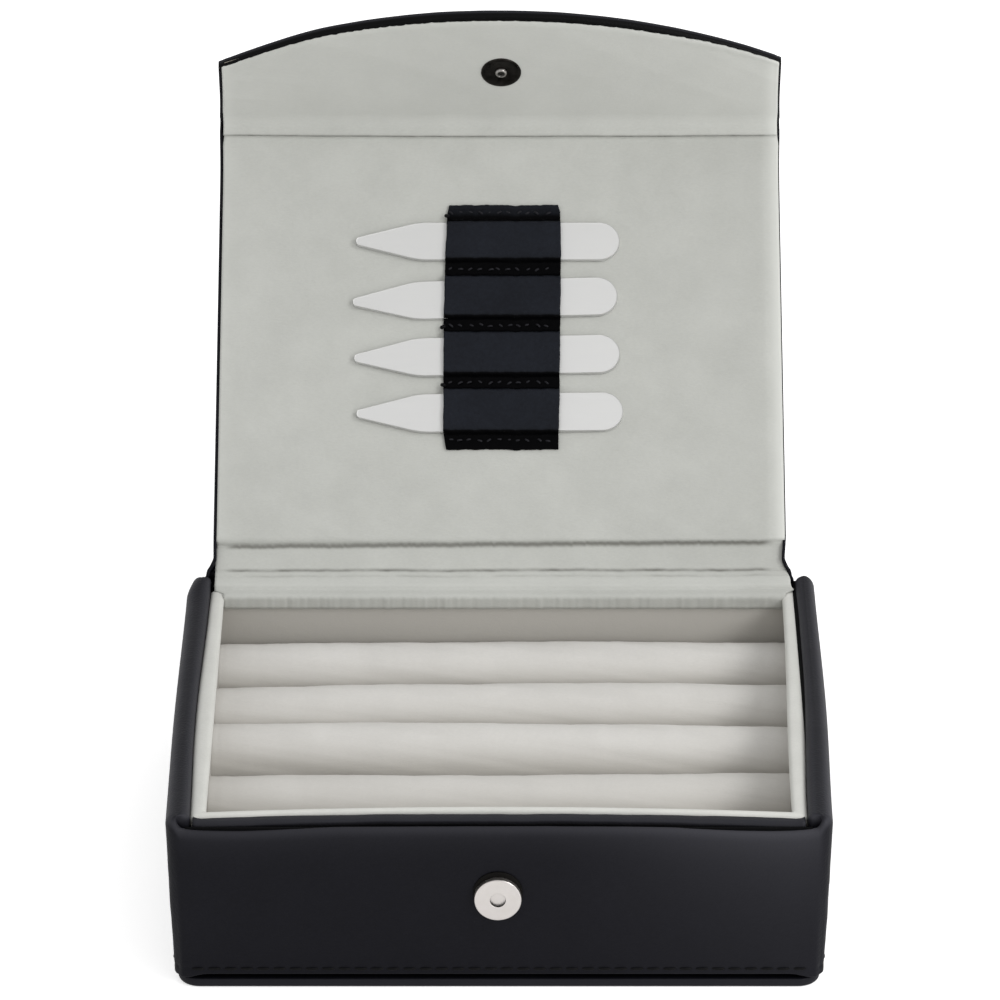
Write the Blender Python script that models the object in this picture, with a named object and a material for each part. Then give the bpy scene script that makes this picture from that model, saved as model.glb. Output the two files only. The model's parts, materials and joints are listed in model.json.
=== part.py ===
"""Cufflink box: a leather-covered case with a hinged lid, a front flap on a magnetic snap, and collar stays.

The origin is the centre of the underside, +Z is up and -Y is the front. All sizes are in metres.
The lid is modelled flat, as it lies when the box is shut, in the frame of its hinge axis, and the
flap in the frame of its own fold. Two empties then turn them to the angles at which they stand open.
"""

import math

import bmesh
import bpy
from mathutils import Vector

# Overall size
BOX_WIDTH = 0.1460
BOX_DEPTH = 0.1120
BOX_HEIGHT = 0.0435

# What the pieces are made of
SEAT = 0.0003             # gap left where two pieces rest on each other
WALL_LEATHER = 0.0008
LID_LEATHER = 0.0007
LINING = 0.0005

# Base plate, a board wrapped in leather
BASE_SIDE_SETBACK = 0.0016    # the base plate stands in from the side walls' widest line
BASE_FRONT_SETBACK = 0.0011   # and from the front and the back of the box
BASE_HEIGHT = 0.0024
BASE_CORNER = 0.0085
FLOOR_BOARD = 0.0010
FLOOR_SETBACK = 0.0022    # the floor board stands back from the foot of the walls

# Side walls
SIDE_WALL = 0.0055
SIDE_LEAN = 0.0011        # the foot of each side wall stands in by this much
SIDE_TOP_ROUND = 0.0024
SIDE_REAR_ROUND = 0.0027
SIDE_TURN_IN = 0.0150     # how far the leather goes down inside the wall

# Front: an upholstered facing, an open groove, and the wall proper with its binding
FRONT_DROP = 0.0015       # the facing ends this far below the side walls
FRONT_CORNER = 0.0032
FRONT_LEAN = 0.0004
FRONT_TOP_ROUND = 0.0010
FRONT_CARD = 0.0007
GROOVE = 0.0010
FRONT_BOARD = 0.0012
BINDING = 0.0005
BINDING_DROP = 0.0004     # the binding ends this far below the facing
BINDING_FALL = 0.0120

# Rear wall
REAR_BOARD = 0.0042
LINING_FALL = 0.0035      # how far the rear lining hangs down into the tray

# Tray
TRAY_WALL = 0.0024
TRAY_SIDE_PLAY = 0.0004
TRAY_DROP = 0.0020        # the tray's rim lies this far below the side walls
TRAY_FLOOR = 0.0010
TRAY_RIM_ROUND = 0.0009

# Rolls that hold the cufflinks between them
ROLL_COUNT = 5
ROLL_TOP = 0.0324
ROLL_COVER = 0.0006
ROLL_CROWN = 0.0007       # the rolls are this much lower at their ends
ROLL_TUCK = 0.0006        # and this much narrower on each side there

# Lid
LID_SIDE_PLAY = 0.0004
LID_BOARD = 0.0009
HINGE_INSET = 0.0004      # the hinge axis lies this far in from the back of the box
HINGE_RISE = 0.0018       # and this far above the face of the shut lid's lining
HINGE_FREE = 0.00035      # the lid's pieces begin this far from the hinge axis
HINGE_CLEAR = 0.0002      # between the lid's leather, as it swings, and the top of the rear leather
HINGE_CREASE = 0.0066     # where the lid's board begins, from the hinge axis
HINGE_LINING_RISE = 0.0012
FOLD_CREASE = 0.0037      # the lid's board ends this far before the fold
FOLD_LINING_RISE = 0.0006
CREASE_SLOPE = 0.0014
LID_OPEN_DEG = 139.5      # how far the lid stands open

# Flap
FOLD_REACH = 0.0043       # the fold lies this far in front of the box
FOLD_DROP = 0.0007        # and this far below the hinge axis, with the lid shut
FOLD_FREE = 0.00035
FOLD_LINING_FREE = 0.00085
FLAP_BOARD = 0.0009
FLAP_DEPTH = 0.0011       # from the fold axis down to the face of the flap's lining
FLAP_SIDE = 0.02175
FLAP_TIP = 0.0375
FLAP_EDGE = 0.0011        # leather turned over the flap's edge
FLAP_STIFF_START = 0.0015
FLAP_FOLD_DEG = 71.9      # how far the flap stands folded from the lid's plane

# Collar stays and the strap that holds them
STAY_LENGTH = 0.0635
STAY_WIDTH = 0.00985
STAY_THICKNESS = 0.0008
STAY_TAPER = 0.0150
STAY_TIP_RADIUS = 0.0009
STAY_END_LENGTH = 0.0043
STAY_SET = -0.0003        # the stays lie this far below the middle of their loops
STAY_PLACES = [(-0.0023, 0.0), (-0.0034, 0.85), (-0.0028, 0.9), (-0.0020, 0.45)]   # middle, tilt in degrees
STRAP_WIDTH = 0.0279
STRAP_MIDDLE = 0.0007
STRAP_THICKNESS = 0.0008
STRAP_FIRST_ROW = 0.0323
STRAP_PITCH = 0.0148
STRAP_END = 0.0024
STRAP_SHOULDER = 0.15     # share of a loop over which the strap rises

# Magnetic snap
SNAP_DROP = 0.0191        # from the fold axis to the middle of the snap
SOCKET_DIAMETER = 0.0104
SOCKET_PROUD = 0.0018
SOCKET_SHELL = 0.0004
SOCKET_HOLE = 0.0034
MAGNET_BORE = 0.0040
RIVET_HEAD = 0.0032
RIVET_HEAD_HEIGHT = 0.0004
RIVET_SHANK = 0.0020
RIVET_HOLE = 0.0026
STUD_DIAMETER = 0.0096
STUD_THICKNESS = 0.0007
STUD_DISH = 0.0001
NUB_DIAMETER = 0.0031
NUB_LENGTH = 0.0010
WASHER_DIAMETER = 0.0080
WASHER_THICKNESS = 0.0005
WASHER_PLAY = 0.0003

# Fineness of the curves
CORNER_STEPS = 6
ROUND_STEPS = 4
TURN_STEPS = 32
ROLL_ARC_STEPS = 12
ROLL_STATIONS = 7
FLAP_ARC_STEPS = 28
LOOP_STEPS = 12

# Sizes that follow from the ones above
HALF_WIDTH = BOX_WIDTH / 2
FRONT = -BOX_DEPTH / 2
REAR = BOX_DEPTH / 2
FLOOR_BOTTOM = BASE_HEIGHT + SEAT
WALL_FOOT = FLOOR_BOTTOM + FLOOR_BOARD + SEAT
SIDE_INNER = HALF_WIDTH - SIDE_WALL
FRONT_TOP = BOX_HEIGHT - FRONT_DROP
FACING = WALL_LEATHER + SEAT + FRONT_CARD
WALL_FRONT = FRONT + FACING + GROOVE
FRONT_WALL = 2 * BINDING + 2 * SEAT + FRONT_BOARD
TRAY_FRONT = WALL_FRONT + FRONT_WALL + SEAT
REAR_BOARD_BACK = REAR - WALL_LEATHER - SEAT
REAR_BOARD_FRONT = REAR_BOARD_BACK - REAR_BOARD
TRAY_REAR = REAR_BOARD_FRONT - SEAT
TRAY_HALF = SIDE_INNER - TRAY_SIDE_PLAY
TRAY_INNER = TRAY_HALF - TRAY_WALL
TRAY_RIM = BOX_HEIGHT - TRAY_DROP
TRAY_WALL_FOOT = WALL_FOOT + TRAY_FLOOR + SEAT
LID_LINING_FACE = FRONT_TOP + SEAT
HINGE_Y = REAR - HINGE_INSET
HINGE_Z = LID_LINING_FACE + HINGE_RISE
LID_HALF = SIDE_INNER - LID_SIDE_PLAY
FOLD_AT = HINGE_Y - FRONT + FOLD_REACH
LID_BOARD_BOTTOM = -HINGE_RISE + LINING + SEAT
LID_LEATHER_BOTTOM = LID_BOARD_BOTTOM + LID_BOARD + SEAT
LID_TOP = LID_LEATHER_BOTTOM + LID_LEATHER
LID_LINING_HALF = LID_HALF - LID_LEATHER - SEAT
REAR_LEATHER_TOP = HINGE_Z - math.hypot(HINGE_FREE, LID_TOP) - HINGE_CLEAR
FLAP_BOARD_BOTTOM = -FLAP_DEPTH + LINING + SEAT
FLAP_LEATHER_BOTTOM = FLAP_BOARD_BOTTOM + FLAP_BOARD + SEAT
SNAP_Z = HINGE_Z - FOLD_DROP - SNAP_DROP
STAY_BOTTOM = -HINGE_RISE - SEAT - STAY_THICKNESS
LOOP_COUNT = len(STAY_PLACES)


def clear_scene():
    for item in list(bpy.data.objects):
        bpy.data.objects.remove(item, do_unlink=True)


def make_material(name, colour, roughness, metallic=0.0):
    material = bpy.data.materials.new(name)
    material.use_nodes = True
    shader = material.node_tree.nodes["Principled BSDF"]
    shader.inputs["Base Color"].default_value = (*colour, 1.0)
    shader.inputs["Roughness"].default_value = roughness
    shader.inputs["Metallic"].default_value = metallic
    material.diffuse_color = (*colour, 1.0)
    return material


def add_object(name, bm, material, parent=None):
    """Turn a bmesh into a named object, with its faces turned outwards."""
    bmesh.ops.recalc_face_normals(bm, faces=bm.faces)
    mesh = bpy.data.meshes.new(name)
    bm.to_mesh(mesh)
    bm.free()
    item = bpy.data.objects.new(name, mesh)
    bpy.context.collection.objects.link(item)
    mesh.materials.append(material)
    item.parent = parent
    return item


def shade_round(item, degrees=35.0):
    item.data.shade_smooth()
    item.data.set_sharp_from_angle(angle=math.radians(degrees))


def loft(rings):
    """Skin a stack of rings that have equally many points, and close both ends."""
    bm = bmesh.new()
    stack = [[bm.verts.new(point) for point in ring] for ring in rings]
    count = len(rings[0])
    for low, high in zip(stack, stack[1:]):
        for i in range(count):
            j = (i + 1) % count
            bm.faces.new((low[i], low[j], high[j], high[i]))
    bm.faces.new(list(reversed(stack[0])))
    bm.faces.new(stack[-1])
    return bm


def sleeve(outer, inner):
    """Skin two matching stacks of rings, one inside the other, and join them at both open ends."""
    bm = bmesh.new()
    skins = [[[bm.verts.new(point) for point in ring] for ring in stack] for stack in (outer, inner)]
    count = len(outer[0])
    for stack in skins:
        for low, high in zip(stack, stack[1:]):
            for i in range(count):
                j = (i + 1) % count
                bm.faces.new((low[i], low[j], high[j], high[i]))
    for end in (0, -1):
        ring, bore = skins[0][end], skins[1][end]
        for i in range(count):
            j = (i + 1) % count
            bm.faces.new((ring[i], ring[j], bore[j], bore[i]))
    return bm


def arc_points(cx, cy, radius, start, end, steps):
    """Points on a circle from one angle to another, both ends included."""
    angles = [start + (end - start) * i / steps for i in range(steps + 1)]
    return [(cx + radius * math.cos(a), cy + radius * math.sin(a)) for a in angles]


def rounded_rectangle(x0, x1, y0, y1, radii):
    """A rectangle run round from its front left corner; a corner of no radius stays one point."""
    corners = [(x0, y0, 1, 1, math.pi), (x1, y0, -1, 1, 1.5 * math.pi), (x1, y1, -1, -1, 0.0),
               (x0, y1, 1, -1, 0.5 * math.pi)]
    points = []
    for (x, y, inward_x, inward_y, start), radius in zip(corners, radii):
        if radius > 0.0:
            points += arc_points(x + inward_x * radius, y + inward_y * radius, radius, start,
                                 start + 0.5 * math.pi, CORNER_STEPS)
        else:
            points.append((x, y))
    return points


def rounded_block(x, y, z, radii=(0.0, 0.0, 0.0, 0.0), top_round=0.0, foot_in=(0.0, 0.0, 0.0, 0.0)):
    """A block with rounded upright corners and a rounded top rim, whose foot may stand in.

    foot_in gives how far the left, right, front and rear faces stand in at the foot.
    """
    smallest = 0.0001
    levels = [(z[0], 0.0)]
    for i in range(ROUND_STEPS + 1 if top_round > 0.0 else 1):
        angle = 0.5 * math.pi * i / ROUND_STEPS
        levels.append((z[1] - top_round + top_round * math.sin(angle), top_round * (1 - math.cos(angle))))
    rings = []
    for height, inset in levels:
        lean = (z[1] - height) / (z[1] - z[0])
        left, right, front, rear = (inset + amount * lean for amount in foot_in)
        shape = [max(radius - inset, smallest) if radius > 0.0 else 0.0 for radius in radii]
        outline = rounded_rectangle(x[0] + left, x[1] - right, y[0] + front, y[1] - rear, shape)
        rings.append([(px, py, height) for px, py in outline])
    return loft(rings)


def plate(outline, z0, z1):
    """A flat plate of any outline."""
    return loft([[(px, py, height) for px, py in outline] for height in (z0, z1)])


def extrude_section(section, x0, x1):
    """A section drawn in Y and Z, drawn out along X."""
    return loft([[(px, py, pz) for py, pz in section] for px in (x0, x1)])


def add_cutter(name, bm, parent=None):
    cutter = add_object(name, bm, MATERIALS["guide"], parent)
    cutter.hide_render = True
    cutter.display_type = "WIRE"
    return cutter


def cut(item, *cutters):
    """Take each cutter's space out of the item."""
    for cutter in cutters:
        modifier = item.modifiers.new("cut_" + cutter.name, "BOOLEAN")
        modifier.operation = "DIFFERENCE"
        modifier.solver = "EXACT"
        modifier.object = cutter


def turned(name, profile, material, parent=None):
    """Turn a profile of (radius, height) points about Z; the profile runs down its outer side."""
    bm = bmesh.new()
    points = [bm.verts.new((radius, 0.0, height)) for radius, height in profile]
    for a, b in zip(points, points[1:]):
        bm.edges.new((a, b))
    if profile[0][0] > 0.0:
        bm.edges.new((points[-1], points[0]))
    mesh = bpy.data.meshes.new(name)
    bm.to_mesh(mesh)
    bm.free()
    item = bpy.data.objects.new(name, mesh)
    bpy.context.collection.objects.link(item)
    mesh.materials.append(material)
    item.parent = parent
    screw = item.modifiers.new("turn", "SCREW")
    screw.steps = TURN_STEPS
    screw.render_steps = TURN_STEPS
    screw.use_merge_vertices = True
    screw.merge_threshold = 0.00001
    screw.use_smooth_shade = True
    return item


def cylinder_along_y(name, diameter, y0, y1, x, z, parent=None):
    """A round cutter that lies along Y."""
    outline = arc_points(0.0, 0.0, diameter / 2, 0.0, 2 * math.pi * (1 - 1 / TURN_STEPS), TURN_STEPS - 1)
    bm = loft([[(x + px, py, z + pz) for px, pz in outline] for py in (y0, y1)])
    return add_cutter(name, bm, parent)


def cylinder_along_z(name, diameter, z0, z1, x, y, parent=None):
    """A round cutter that stands along Z."""
    outline = arc_points(x, y, diameter / 2, 0.0, 2 * math.pi * (1 - 1 / TURN_STEPS), TURN_STEPS - 1)
    return add_cutter(name, plate(outline, z0, z1), parent)


def make_materials():
    return {
        "guide": make_material("guide", (0.8, 0.2, 0.8), 1.0),
        "leather": make_material("smooth_black_leather", (0.016, 0.016, 0.019), 0.42),
        "board": make_material("grey_board", (0.32, 0.30, 0.27), 0.9),
        "lining": make_material("grey_suede_lining", (0.49, 0.50, 0.47), 0.95),
        "roll_fabric": make_material("pale_suede_roll", (0.58, 0.56, 0.52), 0.95),
        "foam": make_material("white_foam", (0.80, 0.79, 0.74), 0.95),
        "stay_metal": make_material("satin_steel_stay", (0.66, 0.66, 0.65), 0.45, 0.6),
        "bright_metal": make_material("nickel_snap", (0.66, 0.64, 0.61), 0.3, 1.0),
        "dark_metal": make_material("gunmetal_stud", (0.05, 0.045, 0.04), 0.35, 1.0),
        "magnet": make_material("black_magnet", (0.03, 0.03, 0.03), 0.6),
    }


def build_base():
    """The base plate: a board in a shallow dish of leather, and the floor board that lifts the walls off it."""
    x = (BASE_SIDE_SETBACK - HALF_WIDTH, HALF_WIDTH - BASE_SIDE_SETBACK)
    y = (FRONT + BASE_FRONT_SETBACK, REAR - BASE_FRONT_SETBACK)
    leather = add_object("base_leather", rounded_block(x, y, (0.0, BASE_HEIGHT), [BASE_CORNER] * 4),
                         MATERIALS["leather"])
    skin = WALL_LEATHER
    pocket = rounded_block((x[0] + skin, x[1] - skin), (y[0] + skin, y[1] - skin), (skin, BASE_HEIGHT + skin),
                           [BASE_CORNER - skin] * 4)
    cut(leather, add_cutter("base_pocket", pocket))
    inset = skin + SEAT
    board = rounded_block((x[0] + inset, x[1] - inset), (y[0] + inset, y[1] - inset), (inset, BASE_HEIGHT),
                          [BASE_CORNER - inset] * 4)
    add_object("base_board", board, MATERIALS["board"])
    half = HALF_WIDTH - SIDE_LEAN - FLOOR_SETBACK
    floor = rounded_block((-half, half), (FRONT + FRONT_LEAN + FLOOR_SETBACK, REAR - FLOOR_SETBACK),
                          (FLOOR_BOTTOM, FLOOR_BOTTOM + FLOOR_BOARD), [BASE_CORNER - FLOOR_SETBACK] * 4)
    add_object("floor_board", floor, MATERIALS["leather"])


def side_block(side, inset, foot, rear_open=0.0):
    """The body of a side wall, drawn in by an inset all round; side is -1 on the left and 1 on the right."""
    x = (SIDE_INNER + inset, HALF_WIDTH - inset)
    y = (WALL_FRONT + inset, REAR - inset + rear_open)
    top = BOX_HEIGHT - inset
    lean = SIDE_LEAN * (top - foot) / (BOX_HEIGHT - WALL_FOOT)
    rear_round = SIDE_REAR_ROUND - inset
    bm = rounded_block(x, y, (foot, top), (0.0, 0.0, rear_round, 0.0), SIDE_TOP_ROUND - inset,
                       (0.0, lean, 0.0, 0.0))
    if side < 0:
        bmesh.ops.scale(bm, vec=(-1.0, 1.0, 1.0), verts=bm.verts)
    return bm


def build_side(side, label):
    """A side wall: a board under a cap of leather that goes over its top and a little way down inside."""
    leather = add_object(label + "_leather", side_block(side, 0.0, WALL_FOOT), MATERIALS["leather"])
    pocket = add_cutter(label + "_pocket", side_block(side, WALL_LEATHER, WALL_FOOT - WALL_LEATHER))
    inner = sorted((side * (SIDE_INNER - SEAT), side * (SIDE_INNER + WALL_LEATHER + SEAT)))
    below = rounded_block(inner, (WALL_FRONT - SEAT, REAR - WALL_LEATHER - SIDE_REAR_ROUND),
                          (WALL_FOOT - SEAT, BOX_HEIGHT - SIDE_TURN_IN))
    cut(leather, pocket, add_cutter(label + "_open_inside", below))
    board = add_object(label + "_board", side_block(side, WALL_LEATHER + SEAT, WALL_FOOT), MATERIALS["board"])
    shade_round(leather)
    shade_round(board)


def slice_off_behind(bm, y):
    """Cut a solid flat at a plane across Y, keep the front of it and close the cut."""
    parts = list(bm.verts) + list(bm.edges) + list(bm.faces)
    result = bmesh.ops.bisect_plane(bm, geom=parts, plane_co=(0.0, y, 0.0), plane_no=(0.0, 1.0, 0.0),
                                    clear_outer=True)
    edges = [part for part in result["geom_cut"] if isinstance(part, bmesh.types.BMEdge)]
    bmesh.ops.edgeloop_fill(bm, edges=edges)


def front_block(inset, foot, rear):
    """The body of the facing, drawn in by an inset at the front, the sides and the top."""
    past = rear + FRONT_CORNER
    x = (-HALF_WIDTH + inset, HALF_WIDTH - inset)
    top = FRONT_TOP - inset
    share = (top - foot) / (FRONT_TOP - WALL_FOOT)
    corner = FRONT_CORNER - inset
    round_top = max(FRONT_TOP_ROUND - inset, 0.0)
    bm = rounded_block(x, (FRONT + inset, past), (foot, top), (corner, corner, 0.0, 0.0), round_top,
                       (SIDE_LEAN * share, SIDE_LEAN * share, FRONT_LEAN * share, 0.0))
    slice_off_behind(bm, rear)
    return bm


def build_front():
    """The upholstered facing, then a groove, then the front wall with a binding over its top."""
    rear = WALL_FRONT - SEAT
    leather = add_object("front_leather", front_block(0.0, WALL_FOOT, rear), MATERIALS["leather"])
    pocket = add_cutter("front_pocket", front_block(WALL_LEATHER, WALL_FOOT - WALL_LEATHER, rear + WALL_LEATHER))
    hole = cylinder_along_y("snap_hole", RIVET_HOLE, FRONT - SEAT, WALL_FRONT, 0.0, SNAP_Z)
    cut(leather, pocket, hole)
    shade_round(leather)
    half = HALF_WIDTH - FRONT_CORNER - SIDE_LEAN
    card_front = FRONT + WALL_LEATHER + SEAT
    card = rounded_block((-half, half), (card_front, card_front + FRONT_CARD),
                         (WALL_FOOT, FRONT_TOP - WALL_LEATHER - SEAT), foot_in=(0.0, 0.0, FRONT_LEAN, 0.0))
    cut(add_object("front_card", card, MATERIALS["board"]), hole)
    half = SIDE_INNER - SEAT
    top = FRONT_TOP - BINDING_DROP
    y = (WALL_FRONT, WALL_FRONT + FRONT_WALL)
    binding = add_object("front_binding", rounded_block((-half, half), y, (top - BINDING_FALL, top),
                                                        top_round=FRONT_TOP_ROUND), MATERIALS["leather"])
    slot = rounded_block((-half - BINDING, half + BINDING), (y[0] + BINDING, y[1] - BINDING),
                         (top - BINDING_FALL - BINDING, top - BINDING))
    cut(binding, add_cutter("binding_slot", slot))
    inset = BINDING + SEAT
    board = rounded_block((-half, half), (y[0] + inset, y[1] - inset), (WALL_FOOT, top - inset))
    add_object("front_board", board, MATERIALS["board"])


def build_rear():
    """The rear wall between the sides: its board, the leather behind it and the lining that laps into the tray."""
    half = SIDE_INNER - SEAT
    lining_top = HINGE_Z - HINGE_RISE + HINGE_LINING_RISE - SEAT
    board_top = lining_top - LINING - SEAT
    board = rounded_block((-half, half), (REAR_BOARD_FRONT, REAR_BOARD_BACK), (WALL_FOOT, board_top))
    add_object("rear_board", board, MATERIALS["board"])
    leather = rounded_block((-half, half), (REAR - WALL_LEATHER, REAR), (WALL_FOOT, REAR_LEATHER_TOP))
    add_object("rear_leather", leather, MATERIALS["leather"])
    tray_face = TRAY_REAR - TRAY_WALL
    low = TRAY_RIM + LINING
    drop_start = REAR_BOARD_FRONT - SEAT
    drop_end = drop_start - 2 * LINING
    hang = tray_face - SEAT
    section = [(REAR_BOARD_BACK, lining_top - LINING), (REAR_BOARD_BACK, lining_top), (drop_start, lining_top),
               (drop_end, low), (hang - LINING, low), (hang - LINING, low - LINING - LINING_FALL),
               (hang, low - LINING - LINING_FALL), (hang, low - LINING), (drop_end, low - LINING),
               (drop_start, lining_top - LINING)]
    reach = TRAY_INNER - SEAT
    add_object("rear_lining", extrude_section(section, -reach, reach), MATERIALS["lining"])


def build_tray():
    """The tray: a floor and four walls of wrapped card; the rear one is lower by the lining that covers it."""
    floor = rounded_block((-TRAY_HALF, TRAY_HALF), (TRAY_FRONT, TRAY_REAR), (WALL_FOOT, WALL_FOOT + TRAY_FLOOR))
    add_object("tray_floor", floor, MATERIALS["lining"])
    for side, label in ((-1, "tray_left"), (1, "tray_right")):
        x = sorted((side * TRAY_INNER, side * TRAY_HALF))
        wall = rounded_block(x, (TRAY_FRONT, TRAY_REAR), (TRAY_WALL_FOOT, TRAY_RIM), top_round=TRAY_RIM_ROUND)
        shade_round(add_object(label, wall, MATERIALS["lining"]))
    half = TRAY_INNER - SEAT
    front = rounded_block((-half, half), (TRAY_FRONT, TRAY_FRONT + TRAY_WALL), (TRAY_WALL_FOOT, TRAY_RIM),
                          top_round=TRAY_RIM_ROUND)
    shade_round(add_object("tray_front", front, MATERIALS["lining"]))
    rear = rounded_block((-half, half), (TRAY_REAR - TRAY_WALL, TRAY_REAR), (TRAY_WALL_FOOT, TRAY_RIM - SEAT))
    add_object("tray_rear", rear, MATERIALS["lining"])


def roll_ring(x, middle, half, top, foot):
    """A roll's section: upright sides under a round crown."""
    crown = arc_points(middle, top - half, half, 0.0, math.pi, ROLL_ARC_STEPS)
    return [(x, py, pz) for py, pz in [(middle - half, foot), (middle + half, foot)] + crown]


def roll_rings(middle, half, inset, half_length):
    """Sections along a roll, which is lower and narrower at its ends."""
    rings = []
    for i in range(ROLL_STATIONS):
        share = 2 * i / (ROLL_STATIONS - 1) - 1
        x = half_length * share
        fall = ROLL_CROWN * share ** 4
        tuck = ROLL_TUCK * share ** 6
        rings.append(roll_ring(x, middle, half - inset - tuck, ROLL_TOP - inset - fall, TRAY_WALL_FOOT + inset))
    return rings


def build_rolls():
    """Foam rolls in suede sleeves, side by side across the tray; cufflinks are pushed down between them."""
    depth = TRAY_REAR - TRAY_FRONT - 2 * TRAY_WALL
    pitch = (depth - SEAT) / ROLL_COUNT
    half = (pitch - SEAT) / 2
    length = TRAY_INNER - SEAT
    for number in range(ROLL_COUNT):
        middle = TRAY_FRONT + TRAY_WALL + SEAT + half + pitch * number
        outer = roll_rings(middle, half, 0.0, length)
        inner = roll_rings(middle, half, ROLL_COVER, length)
        cover = add_object(f"roll_cover_{number + 1}", sleeve(outer, inner), MATERIALS["roll_fabric"])
        core = add_object(f"roll_core_{number + 1}", loft(roll_rings(middle, half, ROLL_COVER + SEAT, length)),
                          MATERIALS["foam"])
        shade_round(cover)
        shade_round(core)


def build_socket():
    """The magnetic half of the snap on the facing: a casing, its ring magnet, a rivet and the washer behind."""
    back = -SEAT
    front = -SOCKET_PROUD
    outer = SOCKET_DIAMETER / 2
    hole = SOCKET_HOLE / 2
    shell = SOCKET_SHELL
    edge = shell / 2
    # heights here run from the leather's face outwards, so the front of the casing is the highest
    casing = [(hole, -front), (outer - edge, -front), (outer, -front - edge), (outer, -back),
              (outer - shell, -back), (outer - shell, -front - shell), (hole, -front - shell)]
    magnet_outer = outer - shell - SEAT
    magnet_top = -front - shell - SEAT
    magnet = [(MAGNET_BORE / 2, magnet_top), (magnet_outer, magnet_top), (magnet_outer, -back),
              (MAGNET_BORE / 2, -back)]
    head = RIVET_HEAD / 2
    shank = RIVET_SHANK / 2
    reach = -FACING - SEAT - WASHER_THICKNESS
    rivet = [(0.0, -back + RIVET_HEAD_HEIGHT), (head, -back + RIVET_HEAD_HEIGHT), (head, -back), (shank, -back),
             (shank, reach), (0.0, reach)]
    bore = RIVET_HOLE / 2
    washer_outer = WASHER_DIAMETER / 2
    washer = [(bore, -FACING - SEAT), (washer_outer, -FACING - SEAT), (washer_outer, reach), (bore, reach)]
    for name, profile, finish in (("socket_casing", casing, "bright_metal"), ("socket_magnet", magnet, "magnet"),
                                  ("socket_rivet", rivet, "dark_metal"), ("socket_washer", washer, "dark_metal")):
        item = turned(name, profile, MATERIALS[finish])
        item.location = (0.0, FRONT, SNAP_Z)
        item.rotation_euler = (math.radians(90.0), 0.0, 0.0)


def lid_section(face, top):
    """The lining's run from the hinge to the fold in Y and Z: it steps in where the board begins and ends."""
    crease = FOLD_AT - FOLD_CREASE
    return [(-HINGE_FREE, face + HINGE_LINING_RISE), (-HINGE_CREASE + CREASE_SLOPE, face + HINGE_LINING_RISE),
            (-HINGE_CREASE, face), (-crease + FOLD_LINING_RISE, face), (-crease, face + FOLD_LINING_RISE),
            (-FOLD_AT + FOLD_FREE, face + FOLD_LINING_RISE), (-FOLD_AT + FOLD_FREE, top + FOLD_LINING_RISE),
            (-crease, top + FOLD_LINING_RISE), (-crease + FOLD_LINING_RISE, top), (-HINGE_CREASE, top),
            (-HINGE_CREASE + CREASE_SLOPE, top + HINGE_LINING_RISE), (-HINGE_FREE, top + HINGE_LINING_RISE)]


def build_lid(hinge):
    """The lid, flat in the hinge's frame: a card between a leather cover with turned-down sides and a lining."""
    crease = FOLD_AT - FOLD_CREASE
    lip = -HINGE_RISE + SEAT
    leather = add_object("lid_leather",
                         rounded_block((-LID_HALF, LID_HALF), (-FOLD_AT + FOLD_FREE, -HINGE_FREE), (lip, LID_TOP)),
                         MATERIALS["leather"], hinge)
    inner = LID_HALF - LID_LEATHER
    under = rounded_block((-inner, inner), (-FOLD_AT, HINGE_FREE), (lip - SEAT, LID_LEATHER_BOTTOM))
    beyond = LID_HALF + SEAT
    hinge_end = rounded_block((-beyond, beyond), (-HINGE_CREASE, HINGE_FREE), (lip - SEAT, LID_LEATHER_BOTTOM))
    fold_end = rounded_block((-beyond, beyond), (-FOLD_AT, -crease), (lip - SEAT, LID_LEATHER_BOTTOM))
    cut(leather, add_cutter("lid_underside", under, hinge), add_cutter("lid_hinge_end", hinge_end, hinge),
        add_cutter("lid_fold_end", fold_end, hinge))
    board = rounded_block((-LID_LINING_HALF, LID_LINING_HALF),
                          (-crease + FOLD_LINING_RISE + SEAT, -HINGE_CREASE - SEAT),
                          (LID_BOARD_BOTTOM, LID_BOARD_BOTTOM + LID_BOARD))
    add_object("lid_board", board, MATERIALS["board"], hinge)
    section = lid_section(-HINGE_RISE, -HINGE_RISE + LINING)
    add_object("lid_lining", extrude_section(section, -LID_LINING_HALF, LID_LINING_HALF), MATERIALS["lining"],
               hinge)


def strap_rise(share):
    """How high the strap stands along one loop, from 0 at a row of stitches to 1 over the stay."""
    near = min(share, 1.0 - share) / STRAP_SHOULDER
    near = min(near, 1.0)
    return near * near * (3.0 - 2.0 * near)


def build_strap(hinge):
    """The leather strap, sewn down across in five rows, which leaves four loops for the stays."""
    rows_end = STRAP_FIRST_ROW + STRAP_PITCH * LOOP_COUNT
    face = -HINGE_RISE - SEAT
    puff = STAY_THICKNESS + SEAT
    run = [(STRAP_FIRST_ROW - STRAP_END, 0.0)]
    for i in range(LOOP_COUNT * LOOP_STEPS + 1):
        along = STRAP_FIRST_ROW + STRAP_PITCH * i / LOOP_STEPS
        share = (i % LOOP_STEPS) / LOOP_STEPS
        run.append((along, strap_rise(share) * puff))
    run.append((rows_end + STRAP_END, 0.0))
    near = [(-along, face - rise) for along, rise in run]
    far = [(-along, face - rise - STRAP_THICKNESS) for along, rise in run]
    section = near + list(reversed(far))
    strap = extrude_section(section, STRAP_MIDDLE - STRAP_WIDTH / 2, STRAP_MIDDLE + STRAP_WIDTH / 2)
    shade_round(add_object("stay_strap", strap, MATERIALS["leather"], hinge))


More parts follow.
